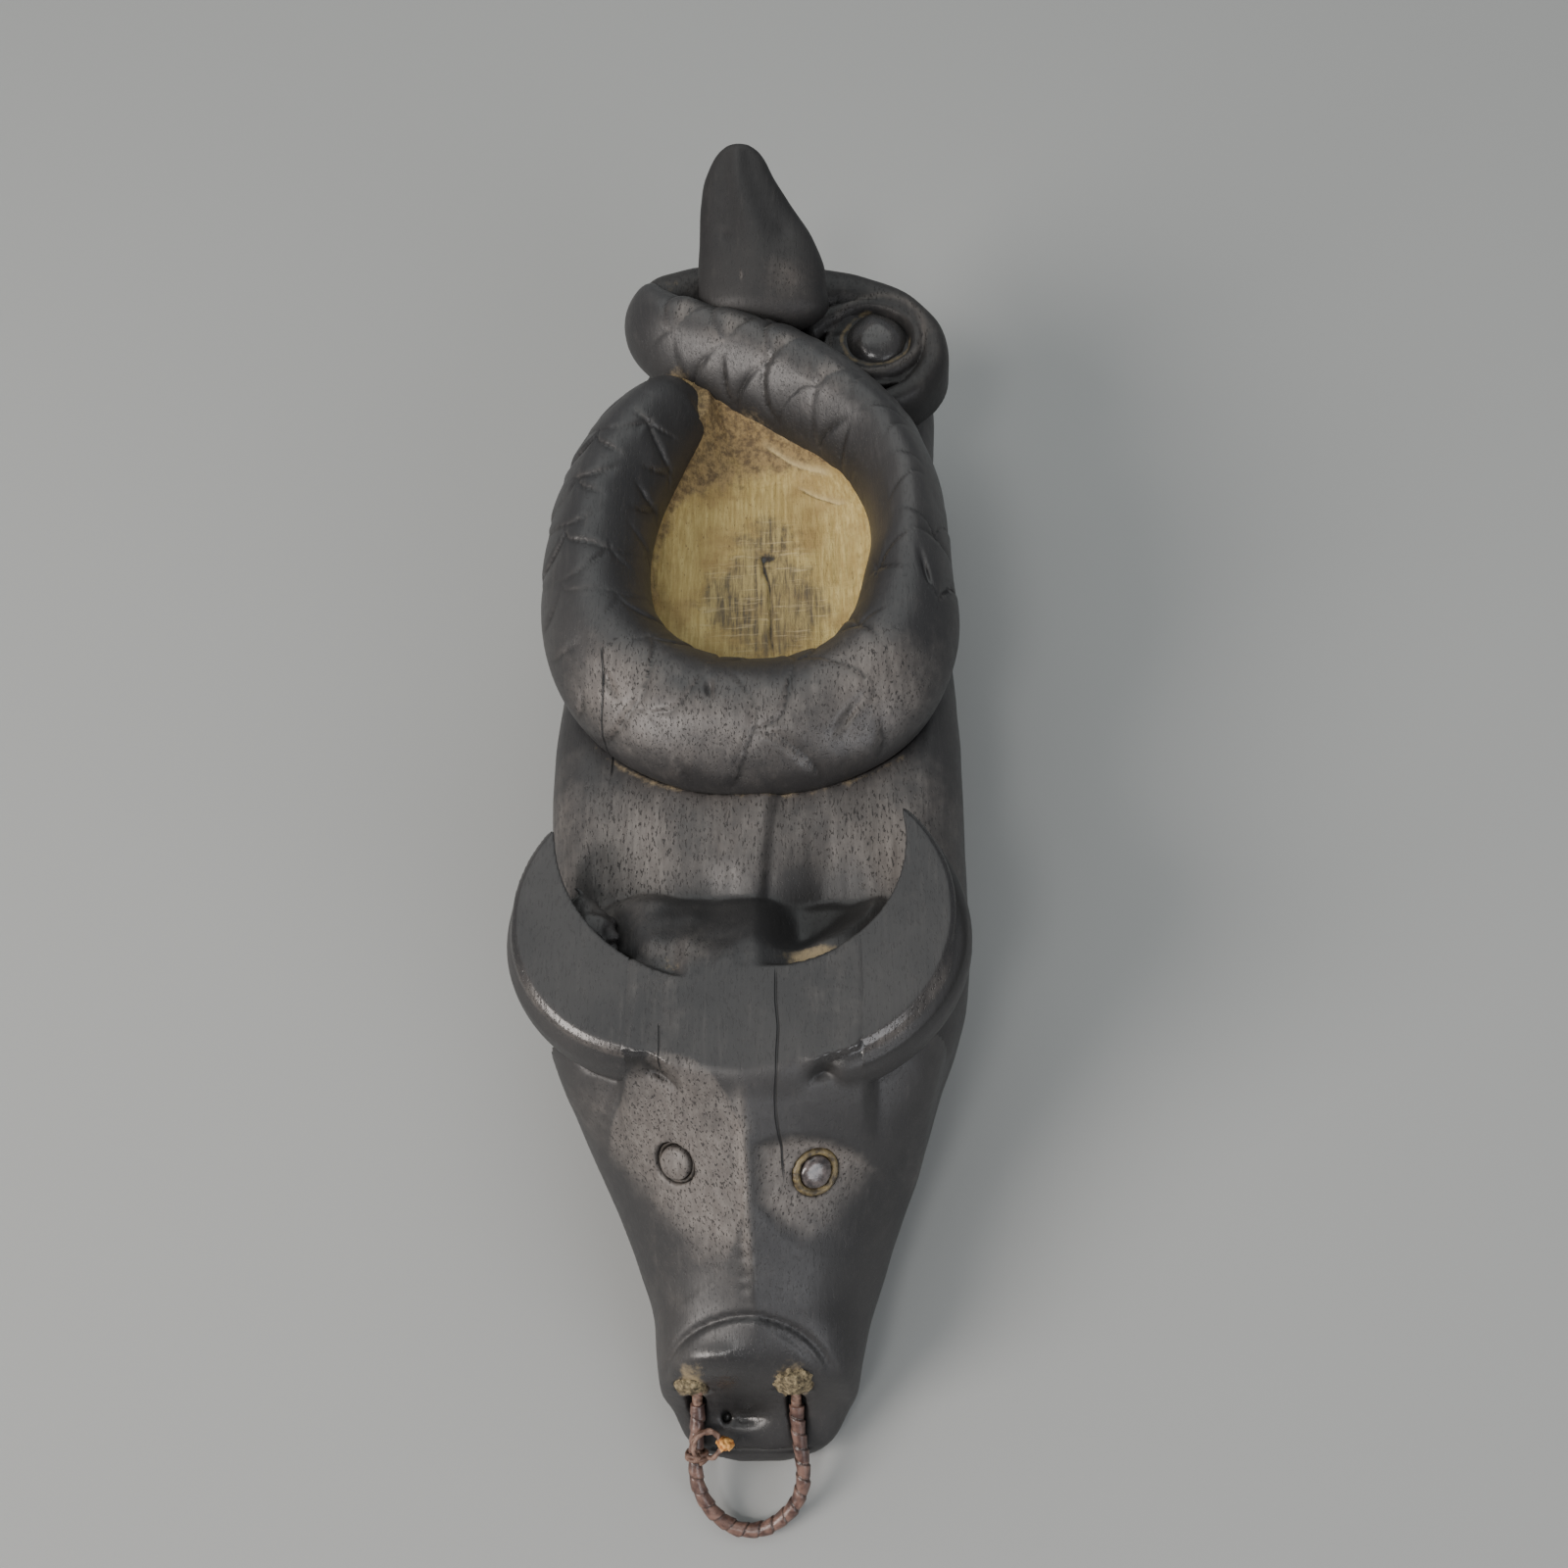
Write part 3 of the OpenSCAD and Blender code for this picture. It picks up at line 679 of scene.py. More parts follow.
def make_block():
    obj, p = sculpt("ox_block", block_field, (-42, -112, -1.5), (44, 132, 64.5))
    x, y, z = p.T
    front, back = before_brow(x, y), behind_brow(x, y)
    neck = ease(y, -36, -26) * ease(y, 12, -8)
    # The neck is paler where rubbed and left darker in its hollow as painted shade.
    hollow = spots(x, y, (1, 14, -26, 9, 7), (0.8, -3, -26, 14, 5))
    worn = neck * (0.3 - 0.5 * hollow + 0.18 * noise(x, y, 0, 8, 63))
    worn = worn + spots(x, y, (0.5, -21, -14, 8, 11), (0.45, 25, -14, 5, 9), (0.2, 1, -12, 4, 8),
                        (0.35, -10, -37, 8, 4), (0.35, -9, -84, 6, 6), (0.3, -26, -60, 4, 5))
    # Painted light: the left cheek facet and the right eye's facet are painted paler where they face the
    # lamps. A thin pale line is also painted along the nose ridge.
    lit_left_cheek = scoop(x, y, -13, -72, 13, 16) * ease(x, 0.5, -1.5)
    worn = worn + 0.78 * lit_left_cheek ** 0.5 + 0.75 * right_lens(x, y) + 0.5 * muzzle_arc(x, y, 1.05)
    worn = worn + 0.6 * hump(x + 0.5, 1.2) * ease(y, -92, -84) * ease(y, -60, -66)
    worn = worn * ease(z, 34, 44) + 0.2 * np.clip(noise(x, y, z, 13, 71), 0, 1)
    under_edge = ease(back, 0.5, 1.5) * ease(back, 5.5, 3.5)
    residue = under_edge * spots(x, y, (0.95, 12, -38.5, 6.5, 3), (0.55, -14, -41, 5, 3))
    crease = np.full(len(x), 9.0)
    near_coil = (y > -14) & (y < 30) & (z > 42)
    out = nearest_rows(SEATED_COIL, x[near_coil], y[near_coil], 2.0)[0]
    crease[near_coil] = (out - 1) * 12
    dusty = (0.62 + 0.5 * noise(x, y, z, 7, 62)) * ease(y, 22, 12)
    residue = residue + (0.3 * hump(crease, 0.5) + 0.42 * hump(crease, 2.2)) * dusty
    for side in (-1, 1):
        residue = residue + 0.7 * spot(x, y, PIVOT[0] + side * LEG_X, -100.6, 3.4, 3.0)
    # Painted shade: in the crevice under the brow's front edge, in the neck's hollow, in the hollow between
    # the nostrils and inside the mouth slit.
    deep = 0.75 * hump(front - 0.8, 0.7) * ease(np.abs(x), 9, 13) * (z > 50) * (z < 61) * (y < -42)
    deep = deep + spots(x, y, (0.8, 15, -28, 9, 6), (0.35, -1, -26, 13, 4), (0.6, -3.4, -103.8, 4.4, 2))
    mouth_shade = ease(-y, 107.2, 107.9) * ease(z, 6.6, 7.0) * ease(z, 8.2, 7.8) * (np.abs(x + 1.2) < 8.6)
    gloss = spots(x, y, (1, -6.5, -99, 7, 3), (0.8, -3, -104, 5, 2.5))
    gloss = gloss + hump(front + 0.2, 0.9) * ease(np.abs(x), 11, 14) * ease(z, 59, 61)
    paint(obj, worn=worn, residue=residue * ease(z, 12, 20), deep=deep + mouth_shade, gloss=gloss)
    return place(obj, DARK, CARVING, "dark_wood", "ox_block")


def make_horn(which):
    horn = HORNS[which]
    side = horn["side"]
    lows = (-44.5, -60, 44) if side < 0 else (18, -61, 44)
    highs = (-18, -10, 63.5) if side < 0 else (44.5, -9, 63.5)

    def field(x, y, z):
        solid = np.maximum(horn_field(which, x, y, z), HORN_JOINT_X - side * x)
        if which == "left":
            u, v = (x + 26.9) * 0.57 - (y + 30.1) * 0.82, (x + 26.9) * 0.82 + (y + 30.1) * 0.57
            ledge = np.sqrt((u / 6.4) ** 2 + (v / 3.1) ** 2 + ((z - 55) / 4.2) ** 2) - 1
            ledge = ledge * 2.6 + 1.0 * noise(x, y, z, 1.9, 4)
            solid = np.minimum(solid, np.maximum(ledge, HORN_JOINT_X - side * x))
        return solid

    obj, p = sculpt(f"{which}_horn", field, lows, highs, VOXEL * 0.8)
    x, y, z = p.T
    out = np.hypot(x - horn["outer"][0], y - horn["outer"][1]) - horn["outer"][2]
    edge = ease(out, -1.4, -0.6) * ease(z, 60.2, 60.8)
    # Painted highlight: the bevel along the flat top's outer edge is painted paler.
    worn = 0.35 * edge * ease(-y, 34, 46)
    spot_x, spot_y = (-22, -37) if side < 0 else (19, -38)
    residue = 0.7 * spot(x, y, spot_x, spot_y, 4, 2.5) * ease(z, 61, 58)
    ledge = spot(x, y, -27, -30, 5, 6) * ease(z, 60.5, 58.5) * (side < 0)
    # Painted shade in the right horn's groove below its flat top; the left horn's ledge is painted partly
    # paler and partly shaded.
    groove = hump(z - 59.6, 0.5) * ease(out, -0.8, 0.4) * (side > 0) * 0.8
    paint(obj, worn=worn + 0.35 * ledge, residue=residue, deep=groove + 0.35 * ledge, gloss=edge)
    return place(obj, DARK, CARVING, "dark_wood", f"{which}_horn")


# ---------------------------------------------------------------- the snake

# Rows of a path: x, y, half width, height of the axis, half height.
COIL = [
    (-9, 92.5, 4, 51, 3), (-12.4, 90.6, 7, 53, 7), (-17, 87, 8.8, 55.6, 10), (-23.6, 76.6, 10.2, 57, 11.6),
    (-28.8, 61.5, 10.3, 57, 12), (-30.4, 45, 10.2, 57, 12), (-28.3, 29.5, 11, 57, 12),
    (-21.5, 18, 12.3, 57, 12), (-11, 10.6, 13, 57, 12), (1, 8.3, 13, 57, 12), (13, 9.8, 12.7, 57, 12),
    (22.5, 15.5, 12, 57, 12), (28.9, 27, 10.4, 57, 12), (30.6, 40, 8.4, 57, 12.3), (31.2, 50, 7.4, 57, 12.5),
    (30.2, 61, 7.5, 57, 12.8), (26.6, 71, 8.3, 57.2, 13), (22, 78, 9.1, 57.6, 13),
    (13.5, 86.8, 10.2, 58, 13), (4.5, 93.5, 10.6, 58, 13), (-4, 98.6, 10.1, 58, 12.6),
    (-12, 102.8, 9.3, 57.8, 12), (-18.2, 107.4, 8.4, 57.6, 11.2), (-21, 111.6, 7.2, 57.4, 10.2),
    (-21.4, 115.2, 5.4, 57.4, 8.6), (-20.4, 117.8, 3, 57.4, 6),
]
SEATED_COIL = COIL[2:-3]
TAIL_OUTER = [
    (-22, 113, 4.6, 56.6, 7), (-18, 117.4, 6.2, 56.2, 8), (-11, 120, 7, 55, 8), (0, 121.8, 7, 53.4, 7.4),
    (12, 122.6, 6.4, 52.2, 6.8), (22.4, 121.4, 4.8, 51.8, 6.2), (31.6, 116.8, 3.9, 51.6, 6),
    (37.3, 109, 3.5, 51.4, 5.8), (38, 100.2, 3.4, 51.2, 5.6), (34, 93.4, 3.2, 51, 5.4),
    (28, 90.6, 3, 50.6, 5),
]
TAIL_INNER = [
    (12.6, 112, 2.6, 51.4, 4.6), (17, 115, 2.5, 51.8, 5), (22, 116.4, 2.2, 52, 5.2),
    (27.4, 115.9, 2.0, 52, 5.3), (32.2, 112.8, 1.9, 52, 5.3), (34.9, 107.8, 1.9, 52, 5.2),
    (34.2, 101.8, 1.9, 51.8, 5), (30, 98.2, 1.8, 51.6, 4.8), (25, 97.6, 1.7, 51.4, 4.6),
    (20.6, 99.6, 1.6, 51, 4.4),
]
BOSS = (26.4, 107.6)


def in_order(path):
    """A path's rows with x, y and z first, as along() takes them."""
    return [(x, y, z, wide, tall) for x, y, wide, z, tall in path]


def sweep(path, sides, step):
    """Centres, sideways directions, sizes and distance along a path, and the angles round its section."""
    rows, at = along(in_order(path), step)
    centre, wide, tall = rows[:, :3], rows[:, 3], rows[:, 4]
    heading = np.gradient(centre[:, :2], axis=0)
    heading /= np.linalg.norm(heading, axis=1)[:, None]
    outward = np.stack([heading[:, 1], -heading[:, 0], 0 * at], 1)
    angle = np.linspace(0, 2 * math.pi, sides, endpoint=False)
    return centre, outward, wide, tall, at, angle


def scale_relief(phase, across, seed):
    """Overlapping scallops: how many scale lengths the next free edge is ahead, and the last one behind."""
    ahead = np.full(np.broadcast(phase, across).shape, 1.0)
    behind = ahead.copy()
    column = np.floor(across)
    for offset in (-1, 0, 1, 2):
        k = column + offset
        a = across - k
        shift = np.mod(k, 2) * 0.5 + 0.1 * np.sin(k * 12.9 + seed) + 0.04 * np.sin(phase * 2.2 + k * 3.1)
        edge = 0.52 * np.sqrt(np.clip(1 - a * a, 0, 1)) + 0.03 * np.sin(a * 5 + k)
        away = np.mod(edge + shift - phase, 1.0)
        inside = np.abs(a) < 1
        ahead = np.minimum(ahead, np.where(inside, away, 1.0))
        behind = np.minimum(behind, np.where(inside, 1 - away, 1.0))
    return ahead, behind


# Stray cuts on the coil: x, y, lean in radians and length.
COIL_NICKS = (-24.4, 12.5, 0.5, 2.6), (18.6, 4.4, -0.75, 3.4), (33.5, 34, 0.2, 3.2), (-6, 9, 0.1, 1.8)
scale_length = curve((0, 11), (60, 12), (88, 16), (100, 19), (150, 17), (172, 13), (220, 12), (250, 11.5),
                     (330, 11))
scale_width = curve((0, 9), (70, 11), (95, 14.5), (150, 14.5), (178, 12), (225, 11), (250, 11.5),
                    (330, 11.5))


def make_coil():
    sides = int(2 * math.pi * 11.5 / RIBBON)
    centre, outward, wide, tall, at, angle = sweep(COIL, sides, RIBBON * 0.94)
    wide, tall = wide[:, None], tall[:, None]
    a, s = np.meshgrid(angle - 0.22 * np.sin(2 * angle + math.pi), at)
    pitch = scale_length(at)[:, None]
    phase = np.cumsum(np.gradient(at) / pitch[:, 0])[:, None] + 0.06 * noise(s, 20 * a, 0, 13, 17)
    across = (a - math.pi / 2) * (wide + tall) / 2 / scale_width(at)[:, None] + 0.5
    ahead, behind = scale_relief(phase, across + 0.06 * noise(s, 15 * a, 0, 9, 18), 1.7)
    strength = np.clip(0.6 + 1.1 * noise(s, 12 * a, 0, 8, 19), 0.0, 1.15)
    strength = strength * ease(s, 12, 24) * ease(s, s.max() - 8, s.max() - 16) * ease(np.sin(a), -0.1, 0.35)
    gap = behind * pitch
    lip = hump(ahead * pitch, 0.7)
    relief = strength * (0.3 * (1 - ahead) - 0.4 * lip - 0.62 * decay(gap, 1.9))
    round_top = 1 + 0.03 * np.cos(4 * a)
    points = centre[:, None] + outward[:, None] * ((wide * round_top + relief) * np.cos(a))[..., None]
    points[..., 2] += (tall * round_top + relief) * np.sin(a)
    drift = 0.25 * noise(points[..., 0], points[..., 1], points[..., 2], 8, 11)
    points[..., 2] = np.maximum(points[..., 2] + drift, DECK_Z)
    for nick_x, nick_y, lean, length in COIL_NICKS:
        off_x, off_y = points[..., 0] - nick_x, points[..., 1] - nick_y
        u = off_x * math.cos(lean) + off_y * math.sin(lean)
        v = off_y * math.cos(lean) - off_x * math.sin(lean)
        points[..., 2] -= 1.3 * spot(u, v, 0, 0, 0.6, length) * (points[..., 2] > 54)
    obj, p = ribbon("snake_coil", points)
    x, y, z = p.T
    # rim paints a pale highlight along each scale's free edge; cut paints shade in the cut behind it.
    rim, cut, inner = (np.append(values.ravel(), [0, 0]) for values in (
        lip * strength, hump(gap, 0.7) * np.clip(strength, 0, 1), np.clip(ahead * 3, 0, 1)))
    near = ease(z, 54, 64)
    # Painted sheen: worn patches on the coil's near stretch carry painted sheen, and the near stretch is
    # painted paler as a whole.
    scuffs_and_sheen = spots(x, y, (0.62, -23, 13, 8, 8), (0.6, 24, 12, 9, 8), (0.34, -2, 3, 18, 6))
    scales = spots(x, y, (0.6, -14, 103, 4, 4), (0.6, -4, 97, 5, 4), (0.6, 6, 90, 5, 4), (0.5, 16, 82, 5, 5))
    worn = near * (scuffs_and_sheen + 0.18 * ease(-y, -30, -6) + scales * (0.15 + 0.95 * inner) + 0.22 * rim)
    residue = 0.9 * spot(x, y, -13, 95, 7, 3.2) * ease(z, 66, 58)
    residue = residue + 0.6 * spot(x, y, 3, 84, 9, 4) * ease(z, 64, 58)
    residue = residue + 0.75 * ease(z, 51, 47.5) * ease(y, 12, 2)
    # Painted shade in the scale cuts and low on the coil's front by the deck.
    deep = 0.675 * cut + 0.35 * hump(z - 52, 2.5) * ease(y, 8, -2)
    paint(obj, worn=worn, residue=residue, deep=deep, gloss=0.25 * near)
    return place(obj, DARK, CARVING, "dark_wood", "snake_coil")


def nearest_rows(path, x, y, spacing=0.8):
    """How far out of the nearest section each (x, y) lies, as a share of its half width, with that
    section's axis height and half height."""
    rows, _ = along(in_order(path), spacing)
    best, axis, tall = np.full(x.shape, 9.0), np.zeros(x.shape), np.ones(x.shape)
    for row in rows:
        out = np.hypot(x - row[0], y - row[1]) / row[3]
        nearer = out < best
        pairs = (out, best), (row[2], axis), (row[4], tall)
        best, axis, tall = (np.where(nearer, new, old) for new, old in pairs)
    return best, axis, tall


def coil_top(x, y):
    out, axis, tall = nearest_rows(COIL, x, y)
    return np.where(out < 1, axis + tall * np.sqrt(np.clip(1 - out ** 2, 0, 1)), DECK_Z)


def make_tail():
    """The tail's band, its inner turn and the flat between them, down to the deck."""
    low, high = (-28, 86, 45), (43, 131, 65)

    def field(x, y, z):
        flat_x, flat_y = np.broadcast_arrays(x[:, :, 0], y[:, :, 0])
        solid = np.full((x.shape[0], y.shape[1], z.shape[2]), 9.0)
        for path in (TAIL_OUTER, TAIL_INNER):
            out, axis, tall = nearest_rows(path, flat_x, flat_y, 0.6)
            out, axis, tall = out[..., None], axis[..., None], tall[..., None]
            rise = np.maximum(z - axis, 0) / tall
            solid = np.minimum(solid, ((np.maximum(out, 0) ** 2.4 + rise ** 2.4) ** (1 / 2.4) - 1) * 3.2)
        bed = past_circle(x, y, (BOSS[0] + 0.4, BOSS[1] - 1, 12))
        bed = np.maximum(bed, z - 54.4 - 0.5 * noise(x, y, 0, 3, 61))
        solid = np.minimum(solid, bed)
        solid = solid + 0.14 * noise(x, y, z, 6, 12)
        return np.maximum(solid, DECK_Z + 0.02 - z)

    obj, p = sculpt("snake_tail", field, low, high, VOXEL * 0.85)
    x, y, z = p.T
    groove, ridge = (hump(past_circle(x, y, (*BOSS, r)), wide) for r, wide in ((7.5, 0.8), (10.2, 0.7)))
    residue = 0.6 * groove * ease(z, 57, 55) + 0.35 * spot(x, y, -16, 117, 6, 4)
    # Painted shade darkens the whole tail, more towards the bottom.
    paint(obj, worn=0.18 * ease(z, 54, 57) + 0.35 * ridge, residue=residue,
          deep=0.35 + 0.3 * ease(z, 49, 46), gloss=0.15)
    return place(obj, MATTE, CARVING, "dark_wood", "snake_tail")


def make_peg():
    """The domed boss, faceted by a few cuts, on the short pin that seats it."""
    def field(x, y, z):
        dome = np.sqrt((x / 6.7) ** 2 + (y / 7.1) ** 2 + (np.maximum(z - 53.4, 0) / 5.0) ** 2) - 1
        dome = dome * 5 + 0.35 * noise(x, y, z, 3.4, 21)
        for nx, ny, nz, reach in ((0.42, 0.3, 0.86, 59.2), (-0.4, 0.2, 0.9, 59.0), (0.1, -0.42, 0.9, 59.1)):
            dome = smooth_max(dome, x * nx + y * ny + (z - reach) * nz, 1.6)
        pin = np.maximum(np.hypot(x, y) - 2.4, 38.2 - z)
        return np.minimum(np.maximum(dome, 46.1 - z), np.maximum(pin, z - 47))

    points, quads = surface_of(field, (-9, -9, 37), (9, 9, 60), VOXEL * 0.7)
    points = points + np.array([*BOSS, 0])
    obj = make_mesh("tail_peg", points, quads)
    z = points[:, 2]
    paint(obj, worn=0.15 * ease(z, 54, 57), residue=0.85 * ease(z, 53.5, 51), gloss=0.9 * ease(z, 53, 56))
    return place(obj, DARK, CARVING, "dark_wood", "tail_peg")


HEAD = [
    (0, 2.6, 12.4, 6), (5.5, 2.8, 13.6, 7), (14.5, 2.6, 13.5, 7), (22, 1.7, 12.1, 6.4), (31, -0.6, 9.2, 5.2),
    (37, -1.6, 6.9, 4.3), (41, -1.6, 4.9, 3.2), (43, -1.6, 2.6, 2), (43.5, -1.6, 0.9, 0.8),
]


def make_head():
    """The snake's head, leaf-shaped with a ridge and a rounded base, on the neck that the dowel pins."""
    at = np.linspace(2.55, 43.4, int(41 / RIBBON))
    shift, wide, tall = (curve(*[(row[0], row[k]) for row in HEAD])(at) for k in (1, 2, 3))
    blunt = np.sqrt(1 - np.clip((9.5 - at) / 7, 0, 1) ** 2)
    wide, tall = wide * blunt, tall * blunt
    shift = shift + 1.4 * ease(at, 12, 2)
    sides = int(2 * math.pi * 11 / RIBBON)
    a, s = np.meshgrid(np.linspace(0, 2 * math.pi, sides, endpoint=False), at)
    c, sn = np.cos(a), np.sin(a)
    x = shift[:, None] + wide[:, None] * c
    roof = ease(s, 10, 26) * ease(s, 43.5, 40)
    upper = np.where(sn > 0, sn * (1 - 0.22 * roof * (1 - hump(c, 0.3))), sn * 0.9)
    z = tall[:, None] * upper
    eye = spot(c, s, 0.52, 23, 0.12, 1.6) + spot(c, s, -0.55, 23, 0.12, 1.6)
    z = z - 0.35 * eye * (sn > 0)
    tilt = math.radians(28)
    points = np.stack([x, 99.8 + s * math.cos(tilt) - z * math.sin(tilt),
                       61.4 + s * math.sin(tilt) + z * math.cos(tilt)], -1)
    points[..., 2] += 0.25 * noise(points[..., 0], points[..., 1], points[..., 2], 7, 14)
    obj, p = ribbon("snake_head", points)
    px, py, pz = p.T
    # Painted shade over the whole head, darkest along its seam with the coil.
    seam_shade = hump(pz - coil_top(px, py), 0.8)
    fleck = spot(px, py, -1.2, 108.6, 0.35, 1.1) * ease(pz, 66, 68)
    paint(obj, worn=0.4 * spot(px, py, 8, 108, 5, 5) * ease(pz, 64, 68) + 0.9 * fleck,
          deep=0.25 + 0.65 * seam_shade)
    place(obj, MATTE, CARVING, "dark_wood", "snake_head")
    angle = np.linspace(0, 2 * math.pi, 40, endpoint=False)
    rings = [[(1.5 + r * math.cos(t), 110.6 + r * math.sin(t), h) for t in angle]
             for h, r in ((h, 4.1 + 0.2 * math.sin(h)) for h in np.arange(46, 65, 0.8))]
    stem, _ = ribbon("snake_neck", rings)
    # The neck is painted in shade.
    paint(stem, worn=0.1, residue=0.2, deep=0.3)
    return place(stem, MATTE, CARVING, "dark_wood")


# ---------------------------------------------------------------- the well

def coil_clearance(x, y):
    """How far a point lies inside the loop from the coil's side, negative under the coil."""
    rows, _ = along(in_order(SEATED_COIL), 1.5)
    best = np.full(x.shape, 1e9)
    for row in rows:
        best = np.minimum(best, np.hypot(x - row[0], y - row[1]) - row[3])
    return best


# Scratches across the well: y, slope, first x, last x, depth. Gouges: y at x = 10, first x, last x.
SCRATCHES = ((57.2, 0.02, -10, 9, 0.4), (55.4, -0.03, -12, 7, 0.35), (47.6, 0.02, -12, 3, 0.35),
             (45.0, 0.03, -13, 1, 0.3), (72.5, 0.1, -2, 8, 0.35), (40.6, 0.0, -9, 2, 0.25))
GOUGES = (74.5, 1, 17), (77.2, -1, 14), (70.5, 8, 20), (80.5, -3, 9)


def stroke(x, off, start, end, width):
    """A cut from one x to another, faded at its ends."""
    return hump(off, width) * ease(x, start, start + 3) * ease(x, end, end - 3)


def make_well():
    step = 0.3
    xs, ys = np.arange(-27, 29, step), np.arange(14, 97, step)
    x, y = np.meshgrid(xs, ys, indexing="ij")
    gap = coil_clearance(x, y)
    steep = 2.5 + 7.5 * ease(y, 52, 80) + 6 * ease(x, 6, 20) * ease(y, 26, 48) - 1.0 * ease(-x, 6, 20)
    z = 48.4 + np.clip(steep, 1, 12) * decay(gap + 1.0, 3.0) + 3.5 * ease(y, 72, 92)
    z = z + 0.25 * noise(x, y * 0.5, 0, 4, 31) + 0.14 * noise(x * 3, y * 0.5, 0, 2.2, 32)
    z = z + 0.3 * noise(x, y, 0, 1.7, 36) * ease(gap, 9, 2)
    crack_x = 2.2 + 0.9 * noise(0, y, 0, 6, 33) + 0.05 * (54 - y)
    crack = hump(x - crack_x, 0.4) * ease(y, 24, 30) * ease(y, 56, 52)
    pit = spots(x, y, (1, 2.2, 54.5, 3.4, 1.1), (0.7, 3.0, 51.5, 1.2, 2.4))
    scratches = sum(depth * stroke(x, y - y0 - slope * x, x0, x1, 0.3)
                    for y0, slope, x0, x1, depth in SCRATCHES)
    gouges = sum(stroke(x, y - y0 + 0.72 * (x - 10), x0, x1, 0.4) for y0, x0, x1 in GOUGES)
    grooves = np.abs(np.sin(x * 2.1 + 0.5 * noise(x, y * 0.3, 0, 5, 35)))
    grooves = 0.35 * grooves * ease(x, 15, 21) * ease(y, 36, 46)
    z = z - 0.65 * crack - 0.75 * pit - scratches * 0.6 - 1.1 * gouges - grooves
    z = np.minimum(z, 60)
    nx, ny = x.shape
    top = np.stack([x, y, z], -1).reshape(-1, 3)
    bottom = np.stack([x, y, np.full_like(z, 47.0)], -1).reshape(-1, 3)
    keep = (gap > -3.2) & (in_loop(x, y))
    cell = keep[:-1, :-1] & keep[1:, :-1] & keep[:-1, 1:] & keep[1:, 1:]
    i, j = np.nonzero(cell)
    a = i * ny + j
    quads = np.stack([a, a + ny, a + ny + 1, a + 1], 1)
    count = nx * ny
    under = quads[:, ::-1] + count
    edges = np.vstack([quads[:, [0, 1]], quads[:, [1, 2]], quads[:, [2, 3]], quads[:, [3, 0]]])
    keys = edges[:, 0] * count + edges[:, 1]
    back = edges[:, 1] * count + edges[:, 0]
    rim = edges[~np.isin(keys, back)]
    walls = np.stack([rim[:, 1], rim[:, 0], rim[:, 0] + count, rim[:, 1] + count], 1)
    faces = np.vstack([quads, under, walls])
    used = np.unique(faces)
    index = np.full(2 * count, -1)
    index[used] = np.arange(len(used))
    points = np.vstack([top, bottom])[used]
    obj = make_mesh("well_floor", points, index[faces])
    px, py = points[:, 0], points[:, 1]
    rim_gap, marks, scrape = (np.concatenate([values.ravel()] * 2)[used]
                              for values in (gap, crack + pit + 0.5 * scratches, 0.8 * gouges))
    smudge = spots(px, py, (0.9, 2, 50, 9, 10), (0.8, -6, 43, 7, 7), (0.9, 9, 41, 7, 6),
                   (0.45, 2, 61, 6, 6), (0.6, 4, 33, 10, 5))
    stain = 0.75 * ease(py - 0.25 * px, 66, 80) + 0.6 * decay(rim_gap, 2.0) * ease(py, 60, 76)
    stain = stain + 0.55 * decay(rim_gap, 1.6) * ease(px, 16, 6)
    # Painted shade in the crack, pit and scratches, and along the coil's edge.
    deep = 0.6 * marks + 0.3 * decay(rim_gap + 1.2, 0.7)
    paint(obj, smudge=smudge, stain=stain, deep=deep, scrape=scrape)
    return place(obj, PALE, CARVING, "pale_wood", "well_floor")


def in_loop(x, y):
    """True inside the closed line of the coil's axis."""
    rows, _ = along(in_order(SEATED_COIL[:-1]), 1.5)
    loop = rows[:, :2]
    inside = np.zeros(x.shape, bool)
    for (ax, ay), (bx, by) in zip(loop, np.roll(loop, -1, 0)):
        crosses = (ay > y) != (by > y)
        at = (bx - ax) * (y - ay) / (by - ay if by != ay else 1e-9) + ax
        inside ^= crosses & (x < at)
    return inside


# ---------------------------------------------------------------- eyes and nostrils

def turned(profile, matrix, angle, wobble):
    """One line of (radius, height) points, turned about local Z by an angle, in millimetres."""
    size = 1 + wobble
    return [matrix @ Vector((r * size * math.cos(angle), r * size * math.sin(angle), h)) for r, h in profile]


def lathe(name, profile, matrix, sides=72, wobble=0.0, seed=0):
    """A body turned about local Z from (radius, height) points, in millimetres."""
    angle = np.linspace(0, 2 * math.pi, sides, endpoint=False)
    rings = []
    for r, h in profile:
        bend = wobble * noise(np.cos(angle) * 3, np.sin(angle) * 3, h, 1.3, seed)
        rings.append([turned([(r, h)], matrix, t, k)[0] for t, k in zip(angle, bend)])
    return ribbon(name, np.array(rings))[0]


def closed_lathe(name, profile, matrix, sides=72, wobble=0.0, seed=5):
    """A ring turned about local Z from a closed profile."""
    angle = np.linspace(0, 2 * math.pi, sides, endpoint=False)
    rings = [turned(profile, matrix, t, wobble * float(noise(np.cos(t) * 3, np.sin(t) * 3, 0.0, 1.3, seed)))
             for t in angle]
    n = len(profile)
    i, j = np.meshgrid(np.arange(sides), np.arange(n), indexing="ij")
    a, b = i * n + j, i * n + (j + 1) % n
    c, d = ((i + 1) % sides) * n + (j + 1) % n, ((i + 1) % sides) * n + j
    return make_mesh(name, np.array(rings).reshape(-1, 3), np.stack([a, d, c, b], -1).reshape(-1, 4))


